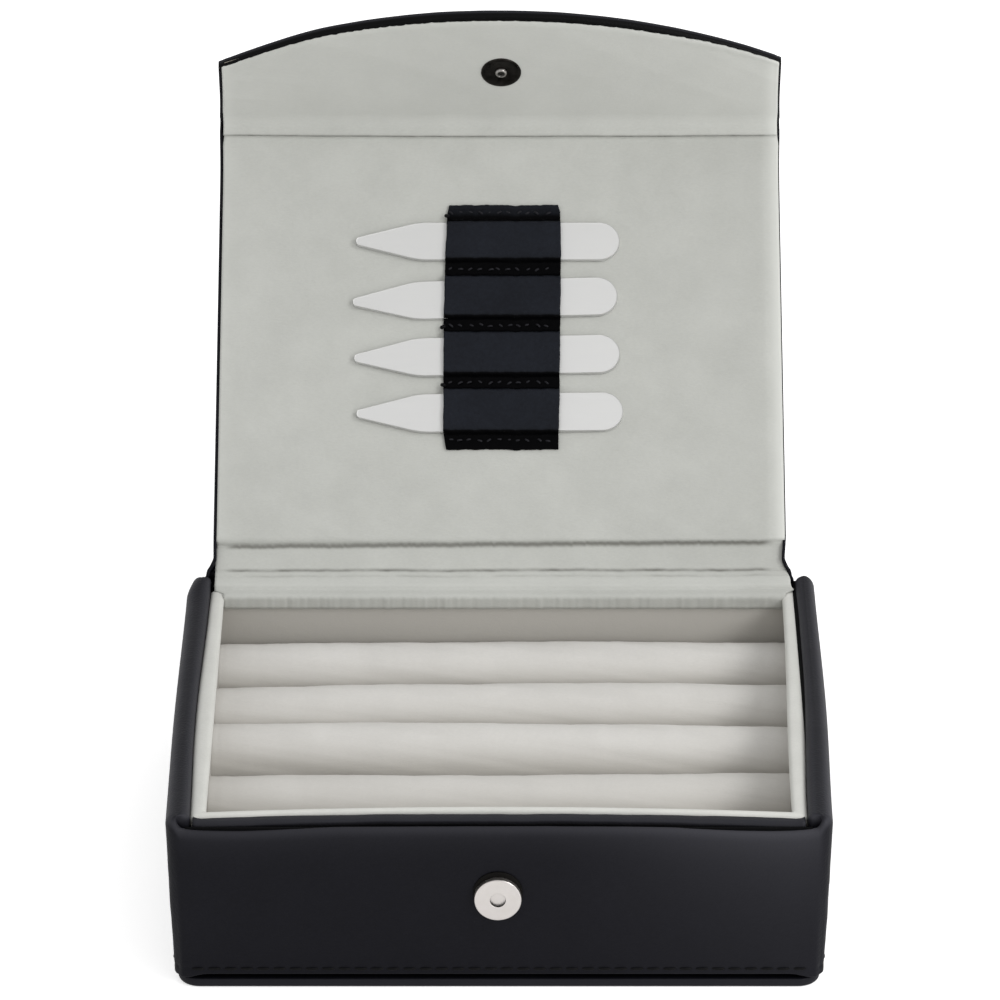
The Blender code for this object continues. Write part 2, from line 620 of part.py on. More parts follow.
def stay_outline():
    """A collar stay: a long point on the left with a small round tip, and a blunt round end on the right."""
    half = STAY_WIDTH / 2
    left = -STAY_LENGTH / 2
    right = STAY_LENGTH / 2
    spread = math.atan2(half - STAY_TIP_RADIUS, STAY_TAPER - STAY_TIP_RADIUS)
    tip = arc_points(left + STAY_TIP_RADIUS, 0.0, STAY_TIP_RADIUS, 0.5 * math.pi + spread,
                     1.5 * math.pi - spread, CORNER_STEPS)
    steps = 2 * CORNER_STEPS
    end = []
    for i in range(steps + 1):
        angle = -0.5 * math.pi + math.pi * i / steps
        end.append((right - STAY_END_LENGTH + STAY_END_LENGTH * math.cos(angle), half * math.sin(angle)))
    shoulder = left + STAY_TAPER
    return tip + [(shoulder, -half)] + end + [(shoulder, half)]


def build_stays(hinge):
    """Four metal collar stays, each lying in its own loop of the strap."""
    for number, (middle, tilt) in enumerate(STAY_PLACES, start=1):
        loop = LOOP_COUNT - number
        along = STRAP_FIRST_ROW + STRAP_PITCH * (loop + 0.5) + STAY_SET
        stay = add_object(f"collar_stay_{number}", plate(stay_outline(), 0.0, STAY_THICKNESS),
                          MATERIALS["stay_metal"], hinge)
        stay.location = (middle, -along, STAY_BOTTOM)
        stay.rotation_euler = (0.0, 0.0, -math.radians(tilt))


def flap_outline(inset, start):
    """The flap seen flat, from a line beside the fold: straight sides and one wide arc across the end."""
    rise = FLAP_TIP - FLAP_SIDE
    radius = (LID_HALF ** 2 + rise ** 2) / (2 * rise)
    centre = FLAP_TIP - radius
    half = LID_HALF - inset
    sweep = math.asin(half / (radius - inset))
    arc = arc_points(0.0, -centre, radius - inset, -0.5 * math.pi - sweep, -0.5 * math.pi + sweep, FLAP_ARC_STEPS)
    return arc + [(half, -start), (-half, -start)]


def build_flap(fold):
    """The flap, flat in the fold's frame: a card in a leather cover turned over its edge, with a lining."""
    top = FLAP_LEATHER_BOTTOM + LID_LEATHER
    leather = add_object("flap_leather", plate(flap_outline(0.0, FOLD_FREE), -FLAP_DEPTH, top),
                         MATERIALS["leather"], fold)
    pocket = plate(flap_outline(FLAP_EDGE, -FOLD_FREE), -FLAP_DEPTH - SEAT, FLAP_LEATHER_BOTTOM)
    beyond = LID_HALF + SEAT
    soft = rounded_block((-beyond, beyond), (-FLAP_STIFF_START, FOLD_FREE), (-FLAP_DEPTH - SEAT, FLAP_LEATHER_BOTTOM))
    cut(leather, add_cutter("flap_pocket", pocket, fold), add_cutter("flap_soft_end", soft, fold))
    inset = FLAP_EDGE + SEAT
    board = add_object("flap_board", plate(flap_outline(inset, FLAP_STIFF_START), FLAP_BOARD_BOTTOM,
                                           FLAP_BOARD_BOTTOM + FLAP_BOARD), MATERIALS["board"], fold)
    lining = add_object("flap_lining", plate(flap_outline(inset, FOLD_LINING_FREE), -FLAP_DEPTH,
                                             -FLAP_DEPTH + LINING), MATERIALS["lining"], fold)
    washer_room = WASHER_DIAMETER + 2 * WASHER_PLAY
    cut(board, cylinder_along_z("stud_room", washer_room, FLAP_BOARD_BOTTOM - SEAT,
                                FLAP_BOARD_BOTTOM + FLAP_BOARD + SEAT, 0.0, -SNAP_DROP, fold))
    cut(lining, cylinder_along_z("stud_hole", RIVET_HOLE, -FLAP_DEPTH - SEAT, -FLAP_DEPTH + LINING + SEAT, 0.0,
                                 -SNAP_DROP, fold))


def build_stud(fold):
    """The stud on the flap: a dished disc with a nub that drops into the socket, and its washer in the card."""
    outer = STUD_DIAMETER / 2
    nub = NUB_DIAMETER / 2
    shank = RIVET_SHANK / 2
    edge = STUD_THICKNESS / 3
    # heights run from the lining's face outwards, and the stud is then turned over to face the box
    face = SEAT + STUD_THICKNESS
    tip = face + NUB_LENGTH
    reach = -LINING - SEAT - WASHER_THICKNESS
    stud = [(0.0, tip), (nub - edge, tip), (nub, tip - edge), (nub, face - STUD_DISH), (outer - 2 * edge, face),
            (outer, face - edge), (outer, SEAT), (shank, SEAT), (shank, reach), (0.0, reach)]
    bore = RIVET_HOLE / 2
    washer_outer = WASHER_DIAMETER / 2
    washer_top = -LINING - SEAT
    washer = [(bore, washer_top), (washer_outer, washer_top), (washer_outer, reach), (bore, reach)]
    for name, profile in (("snap_stud", stud), ("stud_washer", washer)):
        item = turned(name, profile, MATERIALS["dark_metal"], fold)
        item.location = (0.0, -SNAP_DROP, -FLAP_DEPTH)
        item.rotation_euler = (math.radians(180.0), 0.0, 0.0)


def add_axis(name, place, degrees, parent=None):
    """An empty on a hinge line, turned by the angle at which the piece stands."""
    axis = bpy.data.objects.new(name, None)
    bpy.context.collection.objects.link(axis)
    axis.parent = parent
    axis.location = Vector(place)
    axis.rotation_euler = (math.radians(degrees), 0.0, 0.0)
    return axis


clear_scene()
MATERIALS = make_materials()
build_base()
build_side(-1, "left")
build_side(1, "right")
build_front()
build_rear()
build_tray()
build_rolls()
build_socket()
lid_axis = add_axis("lid_axis", (0.0, HINGE_Y, HINGE_Z), -LID_OPEN_DEG)
build_lid(lid_axis)
build_strap(lid_axis)
build_stays(lid_axis)
fold_axis = add_axis("fold_axis", (0.0, -FOLD_AT, -FOLD_DROP), FLAP_FOLD_DEG, lid_axis)
build_flap(fold_axis)
build_stud(fold_axis)
bpy.context.view_layer.update()
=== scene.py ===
# %% [markdown]
# # A leather cufflink box, dressed piece by piece
#
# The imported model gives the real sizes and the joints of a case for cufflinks: a box with five suede rolls,
# a lid with four collar stays in a strap, and a flap that closes on a magnetic snap. This lesson makes the
# surfaces that the eye meets. Leather, suede and thread are thin things wrapped round board, so nearly every
# piece is a sheet worked out with numpy and given its real thickness.

# %% Load the frame
import json
import math

import bmesh
import bpy
import numpy as np
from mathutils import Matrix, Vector


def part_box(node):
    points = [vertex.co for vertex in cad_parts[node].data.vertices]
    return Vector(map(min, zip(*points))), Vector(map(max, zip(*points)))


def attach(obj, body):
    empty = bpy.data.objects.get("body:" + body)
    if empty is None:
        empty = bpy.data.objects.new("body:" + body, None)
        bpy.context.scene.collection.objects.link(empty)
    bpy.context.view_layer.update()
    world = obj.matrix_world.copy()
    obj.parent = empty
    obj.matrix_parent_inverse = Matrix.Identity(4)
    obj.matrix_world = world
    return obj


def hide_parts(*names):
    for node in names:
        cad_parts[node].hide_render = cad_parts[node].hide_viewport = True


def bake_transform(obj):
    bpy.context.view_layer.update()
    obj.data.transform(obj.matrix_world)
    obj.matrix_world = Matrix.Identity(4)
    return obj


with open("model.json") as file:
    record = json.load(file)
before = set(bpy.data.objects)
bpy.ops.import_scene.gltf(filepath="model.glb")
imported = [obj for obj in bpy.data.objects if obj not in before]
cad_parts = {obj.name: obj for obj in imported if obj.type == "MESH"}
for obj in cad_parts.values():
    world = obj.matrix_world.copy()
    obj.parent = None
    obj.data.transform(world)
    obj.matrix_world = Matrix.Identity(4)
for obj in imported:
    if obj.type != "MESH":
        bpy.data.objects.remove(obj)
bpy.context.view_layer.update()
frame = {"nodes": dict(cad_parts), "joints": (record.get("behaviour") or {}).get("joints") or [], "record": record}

# %% [markdown]
# ## Sizes that the pieces share
#
# The frame holds the CAD's sizes, so the main ones are read from it. What the photo shows closer than the
# CAD, such as a crease or an uneven edge, is typed beside its piece. Each body has its own plane to think in:
# the box stands upright, the lid leans back about its hinge, and the flap leans forward about its fold. A
# small function for each of these two turns "so far along, so far out" into a place in the room.

# %% Planes of the box, the lid and the flap
MM = 0.001
joints = {joint["name"]: joint for joint in frame["joints"]}
hinge = np.array(joints["lid_hinge"]["pos_m"]) / MM
fold = np.array(joints["flap_fold"]["pos_m"]) / MM
lid_turn = math.radians(180.0 - joints["lid_hinge"]["range_deg"][1])
flap_turn = lid_turn - math.radians(joints["flap_fold"]["range_deg"][0])


def box_mm(node):
    """The lowest and the highest corner of a CAD node, in millimetres."""
    low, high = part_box(node)
    return np.array(low) / MM, np.array(high) / MM


def stack(x, y, z):
    """Three arrays of any matching shapes become one array of points."""
    return np.stack(np.broadcast_arrays(x, y, z), axis=-1).astype(float)


def on_plane(origin, turn, x, along, out):
    """A point of a tilted plane, in Y and Z: origin + along * (cos, sin) + out * (sin, -cos) of its turn."""
    y = origin[1] + along * math.cos(turn) + out * math.sin(turn)
    z = origin[2] + along * math.sin(turn) - out * math.cos(turn)
    return stack(x, y, z)


def on_lid(x, along, out):
    """along is measured from the hinge towards the flap, and out towards the lid's leather side."""
    return on_plane(hinge, lid_turn, x, along, out)


def on_flap(x, along, out):
    """along is measured from the fold towards the flap's tip, and out towards the leather side."""
    return on_plane(fold, flap_turn, x, along, out)


lid_along = on_lid(0.0, 1.0, 0.0) - on_lid(0.0, 0.0, 0.0)
lid_out = on_lid(0.0, 0.0, 1.0) - on_lid(0.0, 0.0, 0.0)
print("lid and flap stand at", [round(math.degrees(turn), 1) for turn in (lid_turn, flap_turn)], "degrees")

# %% [markdown]
# ## Turning numbers into meshes
#
# A surface is a table of points, rows by columns, and its faces join neighbours in that table. A sheet of
# leather or suede is one such table, and Solidify gives it its thickness. A roll is two tables, an outer and
# an inner one, closed by a strip of faces round their rim. Either way the piece has no open edge.

# %% Grids, sheets and shells


def grid_faces(rows, columns, first=0):
    """Corner numbers of the faces between neighbours (i, j), (i+1, j), (i+1, j+1), (i, j+1) of a table."""
    i = np.arange(rows - 1)[:, None]
    j = np.arange(columns - 1)[None, :]
    number = first + i * columns + j
    return np.stack([number, number + columns, number + columns + 1, number + 1], axis=-1).reshape(-1, 4)


def new_piece(name, points, faces, closed=True, smooth_angle=50.0, tone=0.0):
    """An object at the origin, from points in mm. Doubles are merged, and a closed piece is turned outwards.

    tone is a number for each point that its finish can read: below 0 it is darker there, above 0 lighter."""
    mesh = bpy.data.meshes.new(name)
    mesh.from_pydata((points.reshape(-1, 3) * MM).tolist(), [], faces.tolist())
    tones = np.broadcast_to(tone, points.shape[:-1]).astype(np.float32).ravel()
    mesh.attributes.new("tone", "FLOAT", "POINT").data.foreach_set("value", tones)
    build = bmesh.new()
    build.from_mesh(mesh)
    bmesh.ops.remove_doubles(build, verts=build.verts, dist=1e-6)
    bmesh.ops.dissolve_degenerate(build, edges=build.edges, dist=1e-7)
    if closed:
        bmesh.ops.recalc_face_normals(build, faces=build.faces)
    build.to_mesh(mesh)
    build.free()
    mesh.shade_smooth()
    mesh.set_sharp_from_angle(angle=math.radians(smooth_angle))
    piece = bpy.data.objects.new(name, mesh)
    bpy.context.scene.collection.objects.link(piece)
    return piece


def sheet(name, points, thickness, flip=False, tone=0.0):
    """A table of points as a sheet whose thickness, in mm, lies behind the side that shows."""
    faces = grid_faces(*points.shape[:2])
    piece = new_piece(name, points, faces[:, ::-1] if flip else faces, closed=False, tone=tone)
    solidify = piece.modifiers.new("thickness", "SOLIDIFY")
    solidify.thickness = thickness * MM
    solidify.offset = -1.0
    return piece


def shell(name, outer, inner):
    """A body between two tables of points, closed by strips of faces along their rims."""
    rows, columns = outer.shape[:2]
    count = rows * columns
    faces = [grid_faces(rows, columns), grid_faces(rows, columns, count)[:, ::-1]]
    number = np.arange(count).reshape(rows, columns)
    for line in (number[0], number[-1], number[:, 0], number[:, -1]):
        faces.append(np.stack([line[:-1], line[1:], line[1:] + count, line[:-1] + count], axis=-1))
    points = np.concatenate([outer.reshape(-1, 3), inner.reshape(-1, 3)])
    return new_piece(name, points, np.concatenate(faces))


def settle(piece, body, slot, material, *nodes):
    """Give a piece its finish and its body, and hide the CAD nodes that it stands for."""
    piece.data.materials.append(material)
    if nodes:
        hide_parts(*nodes)
    if body:
        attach(piece, body)
    print(piece.name, "has", len(piece.data.polygons), "faces and stands for", nodes or "no CAD node")
    return piece


# %% [markdown]
# ## Lines and gentle irregularity
#
# A section or a plan is a line with rounded corners. And nothing that is glued by hand is quite straight: a
# few sine waves of unrelated lengths, added together, give a line that wanders a little and never repeats.

# %% Lines


def straight(start, end, spacing):
    """Points from start to end, no further apart than spacing."""
    start, end = np.array(start, float), np.array(end, float)
    count = max(2, math.ceil(np.linalg.norm(end - start) / spacing) + 1)
    return start + (end - start) * np.linspace(0.0, 1.0, count)[:, None]


def rounded(corners, radii, spacing, steps=8):
    """A line through corners, where (1-t)^2 A + 2t(1-t) C + t^2 B bends it round each inner corner C."""
    corners = [np.array(corner, float) for corner in corners]
    t = np.linspace(0.0, 1.0, steps + 1)[:, None]
    line, last = [], corners[0]
    for before, corner, after, radius in zip(corners, corners[1:], corners[2:], radii):
        a = corner + (before - corner) * radius / np.linalg.norm(before - corner)
        b = corner + (after - corner) * radius / np.linalg.norm(after - corner)
        bend = (1 - t) ** 2 * a + 2 * t * (1 - t) * corner + t**2 * b
        line += [straight(last, a, spacing)[:-1], bend[:-1]]
        last = b
    line.append(straight(last, corners[-1], spacing))
    return np.concatenate(line)


def lengths(line):
    """How far along a line each of its points is: the sum of the steps before it."""
    return np.concatenate([[0.0], np.cumsum(np.linalg.norm(np.diff(line, axis=0), axis=1))])


def evenly(line, count):
    """The same line with count points, evenly spaced along it."""
    length = lengths(line)
    at = np.linspace(0.0, length[-1], count)
    return np.stack([np.interp(at, length, line[:, k]) for k in range(line.shape[1])], axis=-1)


def finer(line, low, high, spacing):
    """The same line, with points every spacing while its first coordinate runs from low to high."""
    part = (line[:, 0] > low) & (line[:, 0] < high)
    first, last = np.flatnonzero(part)[[0, -1]]
    middle = line[first:last + 1]
    count = int(lengths(middle)[-1] / spacing) + 2
    return np.concatenate([line[:first], evenly(middle, count), line[last + 1:]])


def ease(value, start, end):
    """0 before start, 1 after end, and 3t^2 - 2t^3 between."""
    t = np.clip((np.asarray(value, float) - start) / (end - start), 0.0, 1.0)
    return t * t * (3 - 2 * t)


def hump(value, middle, width):
    """exp(-((value - middle) / width)^2): 1 at middle and next to nothing two widths away."""
    return np.exp(-(((value - middle) / width) ** 2))


def ripple(x, longest, seed):
    """A sum of six sines, each 1.6 times shorter than the last and weaker, within about -1 to 1."""
    random = np.random.default_rng(seed)
    total, weight = 0.0, 0.0
    for k in range(6):
        share = 0.75**k
        total = total + share * np.sin(2 * np.pi * x * 1.6**k / longest + random.uniform(0.0, 2 * np.pi))
        weight += share
    return total / weight * 1.6


print("a rounded corner has", len(rounded([(0, 0), (10, 0), (10, 10)], [2.0], 20.0)), "points")

# %% [markdown]
# ## Finishes
#
# A finish is a small graph of nodes on the Principled shader. The colours are written as they look on a
# screen and turned to the linear values that Blender mixes. Every pattern reads Object coordinates, which
# are metres here, so a pattern of a given size in millimetres gets a scale of one over that size.

# %% Helpers for finishes


def linear(code):
    """An sRGB hex colour as linear RGBA: (c/12.92) in the dark part, ((c + 0.055)/1.055)^2.4 above it."""
    share = np.array([int(code[i:i + 2], 16) for i in (0, 2, 4)]) / 255
    value = np.where(share <= 0.04045, share / 12.92, ((share + 0.055) / 1.055) ** 2.4)
    return (*value.tolist(), 1.0)


def set_inputs(tree, node, values):
    """Set a node's inputs, in order or by name, to plain values, hex colours or other nodes' outputs."""
    for key, value in values.items() if isinstance(values, dict) else enumerate(values):
        if isinstance(value, bpy.types.NodeSocket):
            tree.links.new(value, node.inputs[key])
        elif value is not None:
            node.inputs[key].default_value = linear(value) if isinstance(value, str) else value


def add_node(tree, kind, values, out=0, **settings):
    """Add a shader node with its settings and inputs, and return the output that others link from."""
    node = tree.nodes.new("ShaderNode" + kind)
    for name, value in settings.items():
        setattr(node, name, value)
    set_inputs(tree, node, values)
    return node.outputs[out]


def new_material(name, **sockets):
    """A material with its Principled shader's own sockets set. Returns it with its tree, shader and place."""
    material = bpy.data.materials.new(name)
    material.use_nodes = True
    tree = material.node_tree
    shader = tree.nodes["Principled BSDF"]
    set_inputs(tree, shader, {key.replace("_", " "): value for key, value in sockets.items()})
    return material, tree, shader, add_node(tree, "TexCoord", [], "Object")


def between(tree, value, low, high, first, second):
    """A colour that is first where a value is at or below low, second at or above high, and a mix between."""
    share = add_node(tree, "MapRange", [value, low, high, 0.0, 1.0])
    return add_node(tree, "Mix", {0: share, 6: first, 7: second}, 2, data_type="RGBA")


def toned(tree, shade, darkest, lightest):
    """A colour drawn towards darkest where the piece's tone is below 0, and towards lightest above 0: mostly
    painted shade and painted light.
    """
    tone = add_node(tree, "Attribute", [], "Fac", attribute_name="tone")
    return between(tree, tone, 0.0, 1.0, between(tree, tone, -1.0, 0.0, darkest, shade), lightest), tone


# %% [markdown]
# ### Leather
#
# The cover is bonded leather: split leather ground, pressed and coated with a thin black film. The eye gets
# an almost even black with a soft, low sheen, and at close range a fine grain of pebbles half a millimetre
# across. The sheen wanders a little, because the film is pressed over board by hand.

# %% Leather
LEATHER_GLOSS = 0.10


def make_leather(name, dark, light, roughness, grain_mm=0.55, depth_mm=0.035, sunk_gloss=LEATHER_GLOSS):
    """Coated black leather: pebble grain from Voronoi cells, and sheen and colour that wander in patches."""
    material, tree, shader, place = new_material(name, IOR=1.5)
    patches = add_node(tree, "TexNoise", [place, None, 1 / (14.0 * MM), 3.0, 0.6])
    specks = add_node(tree, "TexNoise", [place, None, 1 / (0.9 * MM), 3.0, 0.65])
    mixed = add_node(tree, "Math", [patches, specks], operation="ADD")
    # Painted light: a tone below 0 draws the leather towards near-black as painted shade, and above 0 towards dark
    # grey as painted sheen. Where it paints shade the gloss drops to sunk_gloss too, so the shade loses its
    # reflection.
    shade, tone = toned(tree, between(tree, mixed, 0.75, 1.3, dark, light), "030304", "39393E")
    gloss = add_node(tree, "MapRange", [tone, -1.0, -0.2, sunk_gloss, LEATHER_GLOSS])
    dull = add_node(tree, "MapRange", [patches, 0.35, 0.65, roughness - 0.02, roughness + 0.04])
    cells = add_node(tree, "TexVoronoi", [place, None, 1 / (grain_mm * MM)])
    pebbles = add_node(tree, "MapRange", [cells, 0.0, 0.7, 1.0, 0.0])
    grain = add_node(tree, "Bump", {"Height": pebbles, "Distance": depth_mm * MM})
    waves = add_node(tree, "TexNoise", [place, None, 1 / (3.5 * MM), 2.0, 0.5])
    bump = add_node(tree, "Bump", {"Height": waves, "Distance": 0.06 * MM, "Strength": 0.5, "Normal": grain})
    looks = {"Base Color": shade, "Specular IOR Level": gloss, "Roughness": dull, "Normal": bump}
    set_inputs(tree, shader, looks)
    return material


black_leather = make_leather("bonded_black_leather", "0D0D13", "111117", 0.46)
strap_leather = make_leather("blue_black_strap_leather", "13151B", "1A1D24", 0.5, sunk_gloss=0.03)
shadow_black = make_leather("unlit_black_leather", "020203", "030304", 0.9)
thread_black = make_leather("waxed_black_thread", "060607", "0B0B0D", 0.5, 0.3, 0.05)
print("made", [m.name for m in (black_leather, strap_leather, shadow_black, thread_black)])

# %% [markdown]
# ### Suede
#
# The lining and the rolls are covered in faux suede, a felt of very fine fibres that is sanded until it has a
# nap. It has no shine at all, only a faint light rim where the nap stands against the eye. The nap lies this
# way and that, so broad patches are a shade lighter or darker, and close up there are specks of fibre.

# %% Suede


def make_suede(name, dark, light, depths=None):
    """Matte nap: fibres from noise drawn out along X, patches where the nap lies differently, and sheen.

    depths holds two heights in mm and a colour of painted shade: the lower the place, the more of that colour is
    mixed in."""
    sockets = {"Roughness": 0.95, "Specular_IOR_Level": 0.12, "Sheen_Weight": 0.10, "Sheen_Roughness": 0.45}
    material, tree, shader, place = new_material(name, **sockets)
    drawn = add_node(tree, "Mapping", {"Vector": place, "Scale": (0.45, 1.0, 1.0)})
    fibres = add_node(tree, "TexNoise", [drawn, None, 1 / (0.42 * MM), 4.0, 0.7])
    patches = add_node(tree, "TexNoise", [place, None, 1 / (11.0 * MM), 3.0, 0.55])
    mixed = add_node(tree, "Math", [patches, fibres], operation="ADD")
    shade = between(tree, mixed, 0.7, 1.35, dark, light)
    if depths:
        low, high, deep = depths
        height = add_node(tree, "SeparateXYZ", [place], "Z")
        shade = between(tree, height, low * MM, high * MM, deep, shade)
    # Painted light: a tone below 0 draws the suede towards grey as painted shade in creases and folds, and above 0
    # towards pale grey as painted light.
    shade, _ = toned(tree, shade, "5E5D57", "CDCEC9")
    nap = add_node(tree, "Bump", {"Height": fibres, "Distance": 0.05 * MM})
    bump = add_node(tree, "Bump", {"Height": patches, "Distance": 0.25 * MM, "Strength": 0.5, "Normal": nap})
    set_inputs(tree, shader, {"Base Color": shade, "Normal": bump})
    return material


lining_suede = make_suede("grey_lining_suede", "B4B5B0", "BEBFBA")
# Painted shade: the rolls' suede darkens below 32.9 mm, as shade low between the rolls, and the tray rim's below
# 40.6 mm, as shade down inside the tray.
roll_suede = make_suede("pale_roll_suede", "CAC8C4", "D3D1CD", (28.0, 32.9, "B4B1AB"))
rim_suede = make_suede("tray_rim_suede", "C6C6C1", "D0D0CB", (39.3, 40.6, "B0ADA7"))
print("made", [m.name for m in (lining_suede, roll_suede, rim_suede)])

# %% [markdown]
# ### Board, metal and magnet
#
# Greyboard is pressed from waste paper, dull and speckled with fibres. The snap is nickel-plated steel with a
# satin polish, and its stud is the same pressing in a dark gunmetal plating. The stays are brushed stainless
# steel, drawn along their length, which smears every reflection into an even pale grey.

# %% Board, metal and magnet


def make_board():
    """Greyboard: dull, with fibre specks of half a millimetre."""
    material, tree, shader, place = new_material("greyboard", Roughness=0.9, Specular_IOR_Level=0.2)
    specks = add_node(tree, "TexNoise", [place, None, 1 / (0.5 * MM), 4.0, 0.7])
    shade = between(tree, specks, 0.35, 0.65, "8D877D", "A29C92")
    bump = add_node(tree, "Bump", {"Height": specks, "Distance": 0.05 * MM})
    set_inputs(tree, shader, {"Base Color": shade, "Normal": bump})
    return material


def make_metal(name, dark, light, roughness, marks_mm=(1.5, 1.5, 1.5), depth_mm=0.004):
    """Metal whose polish marks are marks_mm long along X, Y and Z, which unsettles its gloss and shade."""
    material, tree, shader, place = new_material(name, Metallic=1.0)
    marks = add_node(tree, "Mapping", {"Vector": place, "Scale": [1 / (size * MM) for size in marks_mm]})
    lines = add_node(tree, "TexNoise", [marks, None, 1.0, 3.0])
    # Painted shade: a tone below 0 draws the metal towards near-black, as shade in the snap's hole and dimple.
    shade, _ = toned(tree, between(tree, lines, 0.3, 0.7, dark, light), "1C1B1A", light)
    dull = add_node(tree, "MapRange", [lines, 0.3, 0.7, roughness - 0.05, roughness + 0.05])
    bump = add_node(tree, "Bump", {"Height": lines, "Distance": depth_mm * MM})
    set_inputs(tree, shader, {"Base Color": shade, "Roughness": dull, "Normal": bump})
    return material


greyboard = make_board()
stay_steel = make_metal("brushed_stay_steel", "DADAD9", "DEDEDD", 0.6, (9.0, 0.25, 0.25), 0.001)
# Painted shade: a darker copy of the satin nickel, used for the stud's post.
shaded_nickel = make_metal("shaded_nickel", "8A8784", "A5A29F", 0.3)
nickel = make_metal("satin_nickel", "D0CBC7", "D5D0CD", 0.38)
gunmetal = make_metal("gunmetal_plating", "2A2826", "3A3735", 0.32)
magnet_black = make_metal("black_ferrite", "1A1918", "242322", 0.6)
print("made", [m.name for m in (greyboard, stay_steel, shaded_nickel, nickel, gunmetal, magnet_black)])

# %% [markdown]
# ### The pieces that keep their CAD shape
#
# Boards and parts that no side shows keep their CAD mesh, so they only need their finish. The slot that each
# node has in the record says which finish that is. Boards that show only as a dark gap are unlit black.

# %% Finish the CAD nodes
finishes = {
    "leather": black_leather, "board": greyboard, "lining": lining_suede, "roll_fabric": roll_suede,
    "foam": roll_suede, "stay_metal": stay_steel, "bright_metal": nickel, "dark_metal": gunmetal,
    "magnet": magnet_black,
}
for part in frame["record"]["subparts"]:
    node = frame["nodes"][part["node"]]
    for place in node.material_slots:
        place.material = finishes[part["material_slot"]]
# Painted shade: these boards are given near-black leather, so the gaps where they show read as shadow.
for name in ("floor_board", "front_card", "rear_board", "left_board", "right_board"):
    frame["nodes"][name].material_slots[0].material = shadow_black

# %% [markdown]
# ## The leather of the walls
#
# One strip of leather runs round three sides of the box. On each side it goes up the outside, over a soft
# top and down behind the tray. At the front it only covers a thin facing, with an open groove behind it
# that ends as a small crease in the side walls' tops. It could be three boxes with bevels, but the eye
# follows the one skin round the corner. So two lines are drawn in plan, where the skin starts down outside
# and inside, and one section is carried along them, whose height and width change as it goes. Both side
# walls bow outwards a little, and the right one stands wider at the rear.

# %% Plan of the walls
wall_low, wall_high = box_mm("right_leather")
binding_low, binding_high = box_mm("front_binding")
WALL_HALF, WALL_CORNER, WALL_REAR_CORNER = 73.0, 3.2, 4.0
FACING = 1.8
LEATHER = 0.8
RIGHT_OUTSIDE, RIGHT_INSIDE = 0.9, 1.9
BOW_MIDDLE, BOW_REACH = -8.0, 38.0
BOW_OUTSIDE, BOW_INSIDE = (0.42, 0.75), (1.0, 0.85)
LEFT_REAR_IN = 1.6
front, rear = box_mm("front_leather")[0][1], wall_high[1]
inner, groove_back = wall_low[0], binding_low[1]


def arc(centre, radius, start, end, count):
    """Points of a circle's arc from start to end, in degrees."""
    turn = np.radians(np.linspace(start, end, count))
    return np.stack([centre[0] + radius * np.cos(turn), centre[1] + radius * np.sin(turn)], axis=-1)


def wall_plan():
    """The outer and inner line of the right half, point for point, from the front's middle to the rear."""
    straight_end = WALL_HALF - WALL_CORNER
    outer = [
        straight((0.0, front), (straight_end, front), 1.4),
        arc((straight_end, front + WALL_CORNER), WALL_CORNER, -90, 0, 17),
        straight((WALL_HALF, front + WALL_CORNER), (WALL_HALF, rear - WALL_REAR_CORNER), 1.6),
        arc((WALL_HALF - WALL_REAR_CORNER, rear - WALL_REAR_CORNER), WALL_REAR_CORNER, 0, 90, 13),
        straight((WALL_HALF - WALL_REAR_CORNER, rear), (inner + 0.3, rear), 0.7),
    ]
    groove_x = WALL_HALF - 2.6
    groove_end = [(straight_end - 0.6, front + FACING), (groove_x, front + FACING), (groove_x, groove_back),
                  (inner, groove_back), (inner, groove_back + 2.2)]
    side_end = (inner, rear - 3.6)
    inner_lines = [
        straight((0.0, front + FACING), groove_end[0], 1.4),
        rounded(groove_end, [0.5, 0.5, 1.3], 0.3),
        straight(groove_end[-1], side_end, 1.6),
        straight(side_end, (inner, rear - 3.0), 0.5),
        straight((inner, rear - 3.0), (inner, rear - 2.9), 0.5),
    ]
    inside = [evenly(line, len(match)) for line, match in zip(inner_lines, outer)]
    return np.concatenate([line[:-1] for line in outer]), np.concatenate([line[:-1] for line in inside])


def mirrored(line):
    """The left half is the right half with X turned round, run backwards, and the middle kept once."""
    return np.concatenate([line[:0:-1] * [-1.0, 1.0], line])


def out_of_true(x, y, amount):
    """X with the right side moved outwards: nothing at the front, amount at the rear, eased both ways."""
    return x + amount * ease(x, 25.0, 64.0) * ease(y, -50.0, 50.0)


def bowed(x, y, left, right):
    """X with each side wall moved outwards by left or right times a hump round the middle of the bow."""
    return x + hump(y, BOW_MIDDLE, BOW_REACH) * (right * ease(x, 60.0, 66.0) - left * ease(-x, 60.0, 66.0))


plan_out, plan_in = (mirrored(line) for line in wall_plan())
for plan, amount, bow in ((plan_out, RIGHT_OUTSIDE, BOW_OUTSIDE), (plan_in, RIGHT_INSIDE, BOW_INSIDE)):
    plan[:, 0] = bowed(out_of_true(plan[:, 0], plan[:, 1], amount), plan[:, 1], *bow)
plan_out[:, 0] += LEFT_REAR_IN * ease(plan_out[:, 1], 46.0, 55.5) * ease(-plan_out[:, 0], 66.5, 70.0)
print("the wall's plan has", len(plan_out), "stations")

# %% [markdown]
# The section is worked out at all points of the plan at once. Its rows go from under the foot, up the
# outside, round the top and down the inside. A row of stitches near the foot pulls the leather in along a
# shallow channel, and between two stitches it swells back a little.

# %% Section of the walls
STITCH_PITCH = 3.6
STITCH_HEIGHT = 5.05
FOOT_ROUND = 0.35
FACING_TOP = 41.3


def unit(vectors):
    """Vectors brought to length one."""
    return vectors / np.maximum(np.linalg.norm(vectors, axis=-1, keepdims=True), 1e-9)


def across_line(direction):
    """A quarter turn to the left of each direction."""
    return np.stack([-direction[:, 1], direction[:, 0]], axis=-1)


